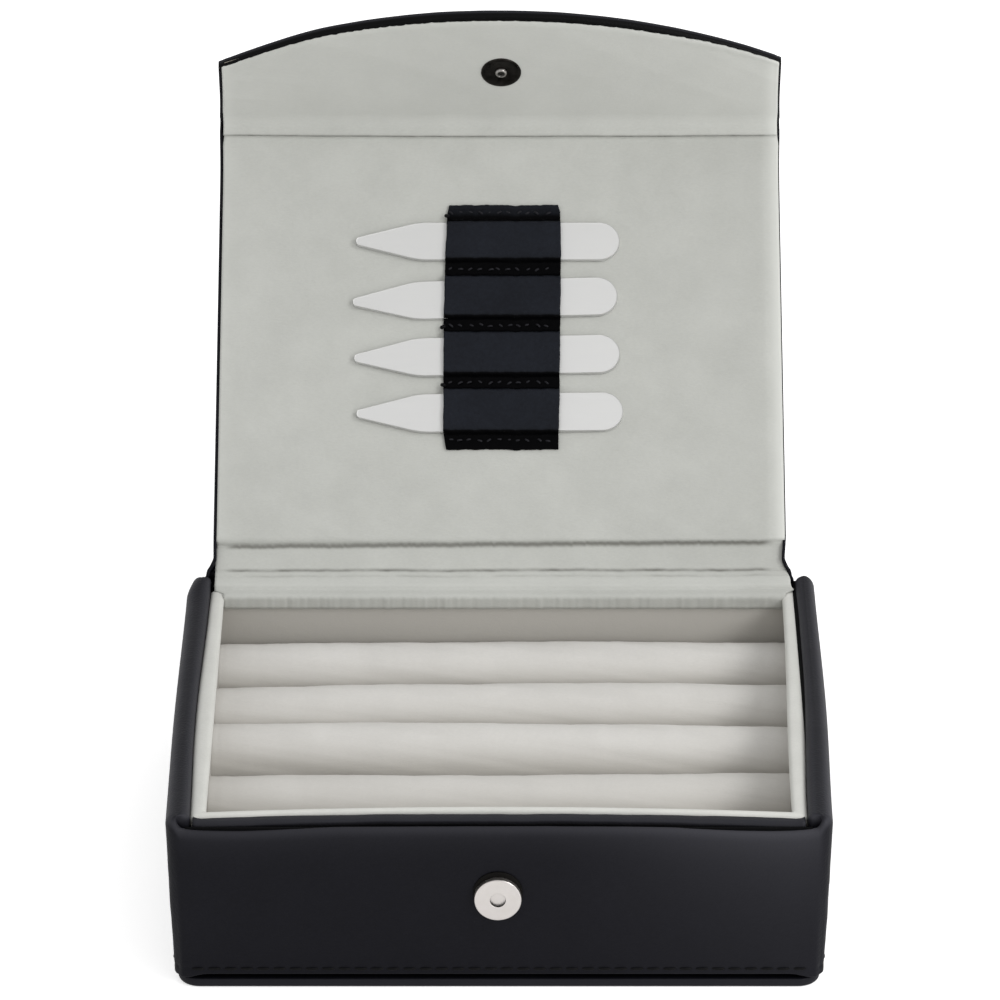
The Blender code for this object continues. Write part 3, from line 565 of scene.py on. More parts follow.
def smooth_along(values, passes):
    """Each value moved to the mean of itself and its neighbours, weighed 1, 2, 1, a number of times."""
    for _ in range(passes):
        padded = np.concatenate([values[:1], values, values[-1:]])
        values = (padded[:-2] + 2 * padded[1:-1] + padded[2:]) / 4
    return values


length_along = lengths(plan_out)
length_along -= length_along[len(length_along) // 2]
tangent = unit(np.gradient(plan_out, axis=0))
inward = across_line(tangent)
width = np.linalg.norm(plan_in - plan_out, axis=1)
at_side = smooth_along((np.abs(plan_out[:, 0]) > WALL_HALF - WALL_CORNER + 0.9).astype(float), 12)
sag = 1.15 * hump(np.abs(plan_out[:, 0]), 59.0, 18.0) * (1 - at_side)
top = FACING_TOP + (wall_high[2] - FACING_TOP) * at_side - sag
rear_rise = (0.5 + 0.8 * (plan_out[:, 0] < 0)) * ease(plan_out[:, 1], 40.0, 55.0)
top = top + 0.05 * ripple(length_along, 60.0, 3) + rear_rise
near_corner = ease(np.abs(plan_out[:, 0]), 64.8, 69.3) * (1 - ease(plan_out[:, 1], front + 5.0, front + 16.0))
foot = wall_low[2] - 0.45 - 0.9 * near_corner
lean = 0.15 + 0.95 * at_side
round_out = smooth_along(np.minimum(2.4, 0.52 * width), 3)
round_up = 2.4 + 0.2 * (1 - at_side)
round_in = np.minimum(1.9, 0.4 * width)


def wall_rows():
    """Plan points and heights of every row. A quarter turn q gives 1 - cos q inwards and 1 - sin q down."""
    rows, heights = [], []

    def add(base, direction, distance, height):
        distance, height = np.broadcast_arrays(distance, height)
        rows.append(base + direction * distance[..., None])
        heights.append(height)

    q = np.radians(np.linspace(0.0, 90.0, 9))[:, None]
    add(plan_out, inward, lean + np.array([[2.4], [1.5]]), foot + 0 * q[:2])
    add(plan_out, inward, lean + FOOT_ROUND * (1 - np.sin(q[:-1])), foot + FOOT_ROUND * (1 - np.cos(q[:-1])))
    share = np.concatenate([np.linspace(0.0, 0.1, 13)[:-1], np.linspace(0.1, 1.0, 22)])[:, None]
    height = foot + FOOT_ROUND + share * (top - round_up - foot - FOOT_ROUND)
    channel = 0.16 * hump(height, STITCH_HEIGHT, 0.55)
    channel = channel * (0.55 + 0.45 * np.cos(2 * np.pi * length_along / STITCH_PITCH))
    waves = 0.06 * ripple(length_along + 2.1 * height, 45.0, 8)
    belly = (waves - 0.22 * np.sin(np.pi * share) * (1 - 0.6 * at_side)) * np.sin(np.pi * share)
    add(plan_out, inward, lean * (1 - share) + channel + belly, height)
    add(plan_out, inward, round_out * (1 - np.cos(q[1:])), top - round_up * (1 - np.sin(q[1:])))
    shoulder = plan_out + inward * round_out[:, None]
    outward = unit(shoulder - plan_in)
    flat_end = plan_in + outward * round_in[:, None]
    across = np.linspace(0.0, 1.0, 5)[1:-1, None]
    rows.append(shoulder[None] * (1 - across[..., None]) + flat_end[None] * across[..., None])
    heights.append(np.broadcast_to(top + 0.06 * np.sin(np.pi * across), (3, len(top))))
    add(plan_in, outward, round_in * (1 - np.cos(q[::-1])), top - round_in * (1 - np.sin(q[::-1])))
    fall = np.array([[0.3], [0.6], [1.0]]) * (1.0 + 7.0 * at_side)
    add(plan_in, outward, 0.0 * fall, top - round_in - fall)
    return np.concatenate(rows), np.concatenate(heights)


wall_points, wall_heights = wall_rows()
wall_table = stack(wall_points[..., 0], wall_points[..., 1], wall_heights)
row = np.arange(len(wall_table))[:, None]
from_top = np.where(row > 12, top - wall_table[..., 2], 99.0)
in_wall = np.linalg.norm(wall_points - plan_out, axis=-1) / np.maximum(width, 0.1)
# Painted light: the tone paints sheen on the side walls' tops, along the facing's round top edge and more towards
# the right end of the front, and near-black shade inside the groove behind the facing.
side_sheen = ease(-from_top, -2.6, -0.6) * (0.55 + 0.35 * np.cos(2 * np.pi * in_wall))
front_sheen = 0.42 * hump(from_top, 0.0, 1.4) + 0.12 * hump(from_top, 0.0, 5.0)
front_sheen = front_sheen + 0.42 * ease(plan_out[:, 0], 5.0, 76.0) * (0.3 + 0.7 * hump(from_top, 0.0, 17.0))
front_sheen = front_sheen + 0.12 * ease(plan_out[:, 0], 5.0, 60.0) * hump(from_top, 0.0, 6.0)
painted_sheen = at_side * side_sheen + (1 - at_side) * front_sheen * (1 - ease(in_wall, 0.6, 0.9) * (row > 30))
groove_shade = (1 - at_side) * ease(in_wall, 0.75, 0.95) * (row > 30)
tone = painted_sheen * (1 - groove_shade) - groove_shade
wall_leather = sheet("wall_leather", wall_table, LEATHER, flip=True, tone=tone)
settle(wall_leather, "box", "leather", black_leather, "front_leather", "left_leather", "right_leather")

# %% [markdown]
# ### Stitches
#
# Black thread sits in the channel, one stitch every 3.6 mm. A stitch is a short bead of thread whose ends
# dive into their holes, so one bead is worked out as a surface, and its copies are set along the plan line
# with numpy. All the stitches are one mesh, because a thread is one piece.

# %% Thread


def beads(name, middles, directions, outwards, length, thickness, sink, tone=0.0):
    """Many copies of one bead: a tube, thickness * sqrt(1 - u^4) wide, whose ends dip by sink * u^2."""
    u = np.linspace(-1.0, 1.0, 9)[:, None]
    v = np.linspace(0.0, 2 * np.pi, 9)[None, :]
    radius = thickness / 2 * np.sqrt(np.maximum(1 - u**4, 0.0))
    sideways = np.cross(directions, outwards)
    along, aside, up = length / 2 * u + 0 * v, radius * np.cos(v), radius * np.sin(v) - sink * u**2
    points = middles[:, None, None, :]
    for amount, vector in ((along, directions), (aside, sideways), (up, outwards)):
        points = points + amount[..., None] * vector[:, None, None, :]
    faces = (grid_faces(9, 9)[None] + 81 * np.arange(len(middles))[:, None, None]).reshape(-1, 4)
    return new_piece(name, points, faces, tone=tone)


stitch_count = int(2 * (length_along[-1] - 6.0) / STITCH_PITCH)
stitch_at = (np.arange(stitch_count) - (stitch_count - 1) / 2) * STITCH_PITCH
foot_line = plan_out + inward * (lean * 0.95 + 0.05)[:, None]
stitch_x, stitch_y = (np.interp(stitch_at, length_along, foot_line[:, k]) for k in (0, 1))
run_x, run_y = (np.interp(stitch_at, length_along, tangent[:, k]) for k in (0, 1))
off_corner = (np.abs(stitch_x) < WALL_HALF - WALL_CORNER - 0.6) | (stitch_y > front + WALL_CORNER + 0.6)
middles = stack(stitch_x, stitch_y, STITCH_HEIGHT)[off_corner]
runs = unit(stack(run_x, run_y, 0.02 * np.sin(stitch_at * 5.0)))[off_corner]
outs = unit(stack(run_y, -run_x, 0.0))[off_corner]
wall_stitches = beads("wall_stitches", middles, runs, outs, 3.3, thickness=0.75, sink=0.3)
settle(wall_stitches, "box", "leather", thread_black)

# %% [markdown]
# ## Base plate
#
# The base is a board wrapped in the same leather, with round corners. A rounded plate is a soft section
# carried round a rounded rectangle: pillow-like at its edge, flat on top and underneath, and closed in the
# middle. The rings shrink towards the middle, so one table covers the whole plate.

# %% Base
BASE_CORNER, BASE_EDGE = 5.0, 0.35
BASE_FORWARD, BASE_SUNK = 0.5, 0.47


def closed(line):
    """A line whose first point is repeated at its end."""
    return np.concatenate([line, line[:1]])


def rounded_rectangle(half_x, half_y, corner, steps=10):
    """A closed line round a rectangle: four quarter arcs joined by straight sides, counter-clockwise."""
    corners = [(1, 1, 0), (-1, 1, 90), (-1, -1, 180), (1, -1, 270)]
    return closed(np.concatenate([
        arc((sx * (half_x - corner), sy * (half_y - corner)), corner, turn, turn + 90, steps)
        for sx, sy, turn in corners]))


def rounded_plate(name, low, high, corner, edge):
    """Rings inset by edge * (1 - cos q), at heights of middle + half * sin q, then drawn in to the middle."""
    middle, half = (low + high) / 2, (high - low) / 2
    q = np.radians(np.linspace(-90.0, 90.0, 13))
    insets = np.concatenate([[half[1], half[1] / 2], edge * (1 - np.cos(q)), [1.8, 2.4, half[1]]])
    tops = [high[2], high[2] + 0.7, high[2] + 0.7]
    levels = np.concatenate([[low[2]] * 2, middle[2] + half[2] * np.sin(q), tops])
    points = []
    for inset, level in zip(insets, levels):
        ring = rounded_rectangle(half[0] - inset, half[1] - inset, max(corner - inset, 0.0))
        points.append(stack(middle[0] + ring[:, 0], middle[1] + ring[:, 1], level))
    points = np.stack(points)
    # Painted light: the rounded edge is toned a little lighter as sheen, and the rings above and below it
    # near-black, as shade in the reveal under the walls and underneath.
    tone = np.where(insets < 1.0, 0.22, -1.0)[:, None]
    return new_piece(name, points, grid_faces(*points.shape[:2]), tone=tone)


base_low, base_high = box_mm("base_leather")
base_low, base_high = base_low - [0, BASE_FORWARD, 0], base_high + [0, BASE_FORWARD, -BASE_SUNK]
base_wrap = rounded_plate("base_wrap", base_low, base_high, BASE_CORNER, BASE_EDGE)
settle(base_wrap, "box", "leather", black_leather, "base_leather", "base_board")

# %% [markdown]
# ## Binding of the front wall
#
# Behind the groove stands the front wall proper, a board with a strip of leather folded over its top. At each
# end the strip climbs a little and is pinched between the groove and the side wall. A section with two round
# corners is carried across the width, and its height changes along the way.

# %% Binding
BINDING_LEATHER = 0.5
section = rounded([(0.0, -1.0), (0.0, 0.0), (1.0, 0.0), (1.0, -1.0)], [0.35, 0.35], 0.25)
across = np.linspace(-1.0, 1.0, 141)
binding_x = across * (inner - 0.25)
climb = 0.45 * ease(np.abs(binding_x), inner - 1.8, inner - 0.2)
binding_top = binding_high[2] - 0.1 - 0.85 * across**2 + climb + 0.07 * ripple(binding_x, 50.0, 5)
bow = 0.25 * (1 - across**2)
fall_back = np.where(section[:, :1] < 0.5, 9.0, 3.0)
depth = binding_high[1] - binding_low[1]
binding_y = binding_low[1] + section[:, :1] * depth + bow + 0.06 * ripple(binding_x, 21.0, 6)
binding_z = binding_top + section[:, 1:] * fall_back
# Painted light: the top of the strip is toned lighter as sheen, and its front face darker as it falls, as shade
# going down into the groove.
tone = 0.5 - 1.5 * ease(binding_top - binding_z - 0.5 * across**4, 0.15, 0.8) * (section[:, :1] < 0.5)
binding_table = stack(binding_x, binding_y, binding_z)
front_binding = sheet("front_wall_binding", binding_table, BINDING_LEATHER, tone=tone)
settle(front_binding, "box", "leather", black_leather, "front_binding")

# %% [markdown]
# ## The tray
#
# The tray is a frame of board covered in suede that stands inside the walls. Its rim shows as a pale band all
# round, slightly soft at its edges. One section, up the outside, over the rim and down the inside, is carried
# round a rectangle with small corners, and the front run bows a little inwards as the real one does.

# %% Tray walls
tray_low, tray_high = box_mm("tray_right")
TRAY_CORNER = 0.6
TRAY_SUEDE = 0.4
tray_thickness = tray_high[0] - tray_low[0]
tray_half = np.array([tray_high[0], (tray_high[1] - tray_low[1]) / 2])
tray_middle = (tray_high[1] + tray_low[1]) / 2
x, y = tray_half
tray_corners = [(x, 0.0), (x, y), (-x, y), (-x, -y), (x, -y), (x, 0.0)]
outer_plan = rounded(tray_corners, [TRAY_CORNER] * 4, 1.6, 6)
q = np.radians(np.linspace(0.0, 90.0, 7))[:, None]
inside = tray_half - tray_thickness
inner_plan = np.clip(outer_plan, [-inside[0], 1.3 - tray_half[1]], inside)
turn_in = 0.34 * (1 - np.cos(q))
share = np.concatenate([0 * q[:2], turn_in, [[0.5]], 1 - turn_in[::-1], 1 + 0 * q[:6]])
drop = np.concatenate([[[12.0], [4.0]], 0.8 * (1 - np.sin(q)), [[-0.05]], 0.8 * (1 - np.sin(q[::-1])),
                       [[3.0], [8.0], [14.0], [20.0], [28.0], [35.0]]])
plan = outer_plan[None] * (1 - share[..., None]) + inner_plan[None] * share[..., None]
at_front = ease(-plan[..., 1], tray_half[1] - 4.0, tray_half[1] - 2.5)
bow = at_front * (1.9 * (1 - (plan[..., 0] / tray_half[0]) ** 2) - 0.9)
wander = 0.12 * ripple(plan[..., 0] + plan[..., 1], 38.0, 11)
rim_height = tray_high[2] - drop + 0.35 * at_front * (1 - (plan[..., 0] / tray_half[0]) ** 2)
inside_wander = wander * ease(drop, 0.0, 6.0)
at_ends = (np.abs(plan[..., 0]) > inside[0] - 0.05) * (share > 0.5)
lean_out = np.minimum(1.1, tray_thickness - 1.0) * ease(drop, 0.3, 3.5) * at_ends * np.sign(plan[..., 0])
print(f"the tray's walls are {tray_thickness:.2f} mm thick")
tray_x = out_of_true(plan[..., 0], plan[..., 1], RIGHT_INSIDE)
tray_x = bowed(tray_x, plan[..., 1], *((1 - ease(share, 0.0, 0.5)) * amount for amount in BOW_INSIDE))
tray_table = stack(tray_x + inside_wander + lean_out, tray_middle + plan[..., 1] + bow, rim_height)
tray_suede = sheet("tray_suede", tray_table, TRAY_SUEDE)
settle(tray_suede, "box", "lining", rim_suede, "tray_front", "tray_rear", "tray_left", "tray_right")

# %% [markdown]
# ## Rolls
#
# Five foam rolls lie side by side, and cufflinks are pushed between them. Each is a foam strip with suede
# wrapped over it, glued underneath, so its crown is a half round, its flanks press against the next roll, and
# its ends are tucked in. The section is an ellipse on straight flanks, carried across the tray. Near the ends
# it shrinks and small puckers run over it, and every roll is pushed a little out of line.

# %% Rolls
ROLL_END = 1.1
FIRST_ROLL_WIDER = 1.2


def roll_surface(middle, half, low, high, shift, bend, lift, seed):
    """A half round over straight flanks, its middle line moved by push + slope * u + bend * u^2."""
    half_length = tray_half[0] - tray_thickness + 1.25
    between_ends = np.sin(np.linspace(-1.0, 1.0, 151) * np.pi / 2) * 0.997
    u = np.concatenate([[-1.0, -0.9985], between_ends, [0.9985, 1.0]])
    x = u * half_length
    from_end = half_length - np.abs(x)
    close = np.sqrt(np.clip(1 - (1 - np.clip(from_end / ROLL_END, 0, 1)) ** 2.6, 0.0, 1.0))
    pucker = ripple(x, 7.0, seed) * np.exp(-from_end / 2.5)
    angle = np.radians(np.linspace(-90.0, 90.0, 49))[:, None]
    round_part = np.sign(angle) * np.abs(np.sin(angle)) ** 0.9
    lumps = ripple(angle * 6.0 + x / 9.0, 9.0, seed + 2) * close
    swell = 1 + 0.008 * ripple(x, 33.0, seed + 1) + 0.014 * lumps
    across = half * (0.95 + 0.05 * close) * swell * round_part
    crown = (half * 0.98) * np.abs(np.cos(angle)) ** 0.92
    top = high + lift - 0.35 * np.abs(u) ** 3 - half * 0.98
    height = top + crown * (0.80 + 0.20 * close) * swell + 0.10 * pucker * np.cos(angle)
    push, slope = shift
    centre = middle + push + slope * u + bend * u**2
    flank = np.array([0.0, 0.3, 0.65, 1.0])[:, None]
    down = low + (height[:1] - low) * flank
    y = centre + np.concatenate([across[:1]] * 4 + [across] + [across[-1:]] * 4)
    z = np.concatenate([down, height, down[::-1]])
    return stack(out_of_true(x + 0 * y, y, RIGHT_INSIDE), y, z)


def make_roll(number, shift, bend, lift):
    """One roll in the place of its CAD core and cover, closed underneath and at its ends."""
    low, high = box_mm(f"roll_cover_{number}")
    low = low - [0.0, FIRST_ROLL_WIDER * (number == 1), 0.0]
    middle, half = (low[1] + high[1]) / 2, (high[1] - low[1]) / 2
    table = roll_surface(middle, half, low[2], high[2], shift, bend, lift, 20 + number)
    under = table.copy()
    under[..., 1:] = middle, low[2]
    roll = shell(f"roll_{number}", table, under)
    settle(roll, "box", "roll_fabric", roll_suede, f"roll_core_{number}", f"roll_cover_{number}")
    return roll


roll_places = [((0.1, 0.0), 0.0, 0.0), ((-0.9, 0.55), 0.8, -0.85), ((0.95, -0.8), -0.5, 0.4),
               ((0.5, 0.85), -1.1, 0.15), ((0.2, 0.4), -0.25, 0.5)]
rolls = [make_roll(number + 1, *place) for number, place in enumerate(roll_places)]
print(len(rolls), "rolls made")

# %% [markdown]
# ## The lining from the tray to the lid
#
# One sheet of suede hangs a little way down into the tray, laps over the rear wall, bridges the hinge and
# covers the lid. It is glued to board at both ends and free at the hinge, where it lies in folds. Its side
# view is a line with rounded corners, and that line is carried across the width. Where it hangs in the tray
# it is puckered, and at the lid's first crease it dips off the board's edge. Blending lets the free part
# follow the box at one end and the lid at the other.

# %% Lining of the rear wall and the lid
LINING = 0.5
LINING_OUT, LINING_OUT_AT_HINGE = -1.8, -0.6
HINGE_CREASE = 6.3
LID_END = 111.7
RIGHT_END_OUT, RIGHT_END_UP = 1.7, 0.5
WIDER_AT_FOLD = 0.35
# The lining is toned lighter within this width of its side edges, more on the right.
LIGHTER_EDGE = 2.2
FOLD_AT = float(np.linalg.norm((fold - hinge)[1:]))
rear_lining_low, rear_lining_high = box_mm("rear_lining")
lid_half = box_mm("lid_leather")[1][0]
flap_half = box_mm("flap_leather")[1][0]


def lid_yz(along, out):
    """The Y and Z of a point of the lid's plane."""
    return on_lid(0.0, along, out)[1:]


def along_lid(side):
    """How far along the lid's plane the points of a side view are: y cos + z sin, from the hinge on."""
    return ((side - hinge[1:]) @ [math.cos(lid_turn), math.sin(lid_turn)])[:, None]


def carried(x, side, lift):
    """A side view carried across the width, its points moved by lift at right angles to the line."""
    normal = across_line(unit(np.gradient(side, axis=0)))
    return stack(x, side[:, :1] + normal[:, :1] * lift, side[:, 1:] + normal[:, 1:] * lift)


def wider(x, along, left=0.1, right=0.45):
    """X moved out by x / half times left or right, and a little more near the fold, from the hinge on."""
    amount = np.where(x > 0, right, left) + WIDER_AT_FOLD * hump(along, FOLD_AT, 9.0)
    return x * (1 + amount * ease(along, 1.0, 9.0) / lid_half)


fall_y = rear_lining_low[1]
rear_top = rear_lining_high[2]
tray_rim = rear_top - 1.2
lining_corners = [
    (fall_y, rear_lining_low[2] + 0.7), (fall_y, tray_rim + 0.1), (tray_half[1] - 0.1, tray_rim + 0.2),
    (tray_half[1] + 0.35, rear_top - 0.1), lid_yz(-1.93, LINING_OUT_AT_HINGE),
    lid_yz(HINGE_CREASE - 0.4, LINING_OUT_AT_HINGE), lid_yz(HINGE_CREASE + 0.9, LINING_OUT),
    lid_yz(LID_END, LINING_OUT),
]
lining_side = rounded(lining_corners, [1.1, 0.5, 0.6, 1.8, 0.5, 0.7], 0.9)
lining_side = finer(lining_side, 49.0, 64.0, 0.22)
side_y, side_z = lining_side[:, :1], lining_side[:, 1:]
along = along_lid(lining_side)
u = np.linspace(-1.0, 1.0, 221)[None, :]
hang = ease(side_z, tray_rim + 0.1, tray_rim - 0.7) * (along < -5.0)
on_board = ease(along, HINGE_CREASE, HINGE_CREASE + 2.0)
inside_half = tray_half[0] - tray_thickness - 0.15
past_tray = ease(side_y, tray_half[1] - 1.9, tray_half[1] - 0.6)
half_width = inside_half + (lid_half - 0.42 - inside_half) * past_tray - 0.3 * ease(along, 109.0, LID_END)
right_end = hump(along, -3.5, 4.0) * ease(u, 0.7, 1.0)
in_tray = 1 - ease(along, -7.0, -4.0)
x = out_of_true(u * half_width, side_y, RIGHT_INSIDE * in_tray) + RIGHT_END_OUT * right_end
x = wider(x, along, -0.25, 0.6)
puckers = 0.18 + 0.08 * ripple(x + 0.2 * lengths(lining_side)[:, None], 7.0, 31) + 0.04 * ripple(x, 2.4, 32)
fold_at = along - 0.12 * x / lid_half + 0.12 * ripple(x, 55.0, 33) + 0.05 * ripple(x, 6.0, 39)
folds = hump(along, -0.3, 2.2) * (0.05 * np.cos(2.6 * fold_at) + 0.03 * ripple(x, 16.0, 34))
folds = folds - 0.30 * hump(fold_at, -0.05, 0.32) - 0.10 * hump(fold_at, -1.6, 0.30)
crease_at = HINGE_CREASE + 0.45 * x / lid_half + 0.07 * ripple(x, 23.0, 35) + 0.08 * ripple(x, 2.6, 36)
lift = hang * puckers + folds - 0.34 * hump(along, crease_at, 0.45) + RIGHT_END_UP * right_end
lift = lift + 0.10 * on_board * ripple(x / 2 + along, 34.0, 37) + 0.15 * hump(along, -1.0, 1.3)
inwards = ease(half_width - np.abs(x), 1.5, 5.0)
# Painted light: the lining is toned darker along the crease and the hinge folds, as shade in them, and lighter in
# a band just before them, as painted light. It is also toned a little darker towards the right, painted shade that
# evens out the key lamp's light from that side, and darker where it hangs in the tray, as shade in its puckers.
tone = -0.75 * hump(along + 0.1, crease_at, 0.42)
tone = tone - 0.70 * hump(fold_at, -0.05, 0.36) * (0.8 + 0.3 * ripple(x, 20.0, 38))
tone = tone - 0.25 * hump(fold_at, -1.6, 0.30) * (0.6 - 0.5 * ripple(x, 30.0, 48))
tone = tone * inwards + 0.4 * hump(fold_at, -3.6, 1.2) - 0.10 * ease(x, 0.0, 66.0)
tone = tone - hang * (0.11 - 0.07 * ripple(x, 2.4, 32))
tone = tone + on_board * hump((1 - np.abs(u)) * half_width, 0.0, LIGHTER_EDGE) * (0.65 + 0.45 * np.sign(u))
dipped = 0.35 * (1 - (x / lid_half) ** 2) * ease(along, 100.0, LID_END)
lining_table = carried(x, lining_side, lift) - lid_along * dipped[..., None]
lid_suede = sheet("lid_suede", lining_table, LINING, flip=True, tone=tone)
settle(lid_suede, None, "lining", lining_suede, "rear_lining", "lid_lining")
tuple(on_lid(0.0, 1.6, -0.6) * MM)
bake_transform(lid_suede)

# %% [markdown]
# ## The lining of the flap
#
# A second sheet covers the flap. It starts at a seam near the lid's front edge, crosses the fold and ends
# just inside the flap's curved edge, where the cut is a little ragged. Each row of the table is a share of
# the way from the seam to that edge, so the last row is the curve itself. The flap's outline is one arc
# through its two corners and its tip, with its left end a little short.

# %% Lining of the flap
FLAP_SIDE, FLAP_TIP, LEFT_SHORT = 21.75, 37.5, 1.7
FLAP_OUT, FLAP_START = -1.1, 0.8
flap_radius = (flap_half**2 + (FLAP_TIP - FLAP_SIDE) ** 2) / (2 * (FLAP_TIP - FLAP_SIDE))


def flap_edge(x):
    """The flap's reach from its fold: tip - radius + sqrt(radius^2 - x^2), and less towards its left end."""
    return FLAP_TIP - flap_radius + np.sqrt(flap_radius**2 - x**2) - LEFT_SHORT * ease(-x, 40.0, 66.0)


start_yz, corner_yz = lid_yz(LID_END + 0.12, LINING_OUT), lid_yz(FOLD_AT - 0.8, LINING_OUT)
SOFT = float(np.linalg.norm(corner_yz - start_yz))
end_yz = on_flap(0.0, FLAP_START + SOFT, FLAP_OUT)[1:]
soft_fold = rounded([start_yz, corner_yz, end_yz], [SOFT - 0.05], 0.3, steps=16)
row = np.arange(len(soft_fold))[:, None]
flap_part = np.concatenate([np.linspace(0.0, 0.1, 6)[1:], np.linspace(0.1, 1.0, 56)[1:]])[:, None]
from_fold = np.concatenate([np.linspace(-SOFT, SOFT, len(row))[:, None], SOFT + flap_part * 20.0])
u = np.linspace(-1.0, 1.0, 241)[None, :]
half_width = flap_half - 0.6 - 0.15 * hump(from_fold, 0.0, 3.4)
x = wider(u * half_width, FOLD_AT + from_fold, -0.1, 0.5)
x_fold, x_flap = x[:len(row)], x[len(row):]
to_middle = np.cos(np.pi / 2 * np.minimum(np.abs(x_flap) / flap_half, 1.0)) ** 1.4
at_right = ease(x_flap, 38.0, 50.0)
margin = 0.55 + 1.15 * to_middle + 0.10 * ripple(x_flap, 5.0, 41) + 0.09 * ripple(x_flap, 2.0, 42)
reach = flap_edge(x_flap) - margin + 0.5 * at_right - FLAP_START - SOFT
sunk = 0.4 * hump(row, 0.0, 2.0)
wander = (0.05 * ripple(x_fold, 9.0, 46) - 0.35 * (1 - (x_fold / lid_half) ** 2)) * hump(row, 0.0, 5.0)
first = stack(x_fold, soft_fold[:, :1], soft_fold[:, 1:])
first = first + lid_out * sunk[..., None] + lid_along * wander[..., None]
out = FLAP_OUT - 0.10 * ripple(x_flap / 3 + flap_part * 20.0, 40.0, 43) * ease(flap_part, 0.1, 0.3)
out = out + 0.2 * ease(flap_part, 0.96, 1.0) - 0.3 * at_right * ease(flap_part, 0.9, 1.0)
second = on_flap(x_flap, FLAP_START + SOFT + flap_part * reach, out)
# Painted light: the flap's lining is toned a little lighter past the fold, as light on its forward-facing part,
# and near-black along the seam where it starts, as shade in the seam.
tone = 0.33 * ease(from_fold, -SOFT + 1.0, 4.0) - 1.2 * hump(from_fold, -SOFT, 0.42)
tone = tone + hump((1 - np.abs(u)) * half_width, 0.0, LIGHTER_EDGE) * (0.65 + 0.35 * np.sign(u))
flap_suede = sheet("flap_suede", np.concatenate([first, second]), LINING, flip=True, tone=tone)
settle(flap_suede, None, "lining", lining_suede, "flap_lining")
tuple(on_lid(0.0, FOLD_AT - 1.2, -1.0) * MM)
tuple(on_flap(0.0, 1.6, -1.1) * MM)
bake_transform(flap_suede)
print("flap's arc has a radius of", round(flap_radius, 1), "mm")

# %% [markdown]
# ## The leather of the lid and the flap
#
# The same black leather goes up the rear wall, bends over its top as the hinge, and covers the back of the
# lid. Along the lid's sides it is turned up round the board as a narrow lip, which shows as the thin dark
# line beside the lining. So the section across is a flat with two lips, and the lips grow out of nothing at
# the hinge. Over the hinge itself nothing holds the leather flat, so it sinks into a valley with small
# wrinkles, and at its ends it bulges and crumples.

# %% Section across
LIP_ROUND = 0.7


def across_with_lips(half, depth, columns=151):
    """X and depth of a flat of +-half with a lip at each end, a quarter round and a straight part."""
    q = np.radians(np.linspace(0.0, 90.0, 7))[1:]
    flat = np.linspace(-1.0, 1.0, columns)
    round_now = np.minimum(LIP_ROUND, depth * 0.5)
    straight_part = np.maximum(depth * np.array([[0.6, 0.8, 1.0]]) + 0 * half, round_now)
    lip_x = np.concatenate([half - round_now + round_now * np.sin(q), half + 0 * straight_part], axis=1)
    lip_down = np.concatenate([round_now * (1 - np.cos(q)), straight_part], axis=1)
    x = np.concatenate([-lip_x[:, ::-1], flat * (half - round_now), lip_x], axis=1)
    return x, np.concatenate([lip_down[:, ::-1], 0 * flat + 0 * half, lip_down], axis=1)


# %% Leather of the rear wall and the lid
COVER, COVER_OUT, COVER_SEAM = 0.7, 0.9, 108.0
LIP_DEPTH = 2.35
rear_face = box_mm("rear_leather")[1][1]
cover_corners = [(rear_face, wall_low[2] + 0.2), (rear_face, 43.35), lid_yz(COVER_SEAM, COVER_OUT)]
cover_side = finer(rounded(cover_corners, [1.2], 0.8, steps=10), rear_face + 0.01, 64.0, 0.2)
along = along_lid(cover_side)
near_end = ease(np.abs(np.linspace(-1.0, 1.0, 169)), 0.965, 1.0)
flare = 1.2 * (1 - ease(along, -0.4, 2.8)) * ease(along, -3.2, -1.6) * (1.0 + 0.12 * np.sin(4.0 * along))
half = lid_half + 0.9 * (1 - ease(along, -1.0, 1.0)) + flare
x, down = across_with_lips(half, 0.02 + LIP_DEPTH * ease(along, -3.4, -1.0))
x = wider(x, along)
valley = 0.25 * ease(along, 0.2, 1.4) * (1 - ease(along, 5.4, 7.2))
wrinkles = 0.12 * ripple(along + 0.3 * ripple(x, 30.0, 51), 2.3, 52) + 0.08 * ripple(x + along, 11.0, 53)
crumple = 0.30 * near_end * ripple(along, 2.6, 54) * hump(along, 0.5, 3.0)
sink = down + valley * (1.0 - wrinkles * 1.5) + crumple + 0.05 * ripple(x / 2 + along, 40.0, 55)
lid_cover = sheet("lid_cover", carried(x, cover_side, sink), COVER)
settle(lid_cover, None, "leather", black_leather, "rear_leather", "lid_leather")
tuple(on_lid(0.0, 2.4, COVER_OUT) * MM)
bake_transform(lid_cover)

# %% [markdown]
# The flap's leather starts where the lid's ends, turns about the fold in an arc, covers the flap's outside
# and goes over its curved edge. There it is turned in by 2.4 mm, so a black line shows between the flap's
# edge and the lining; that turned-in part is painted darker still as shade, and the edge above it is
# painted lighter as sheen. Its rows are shares of the way to the curved edge, like those of the lining.

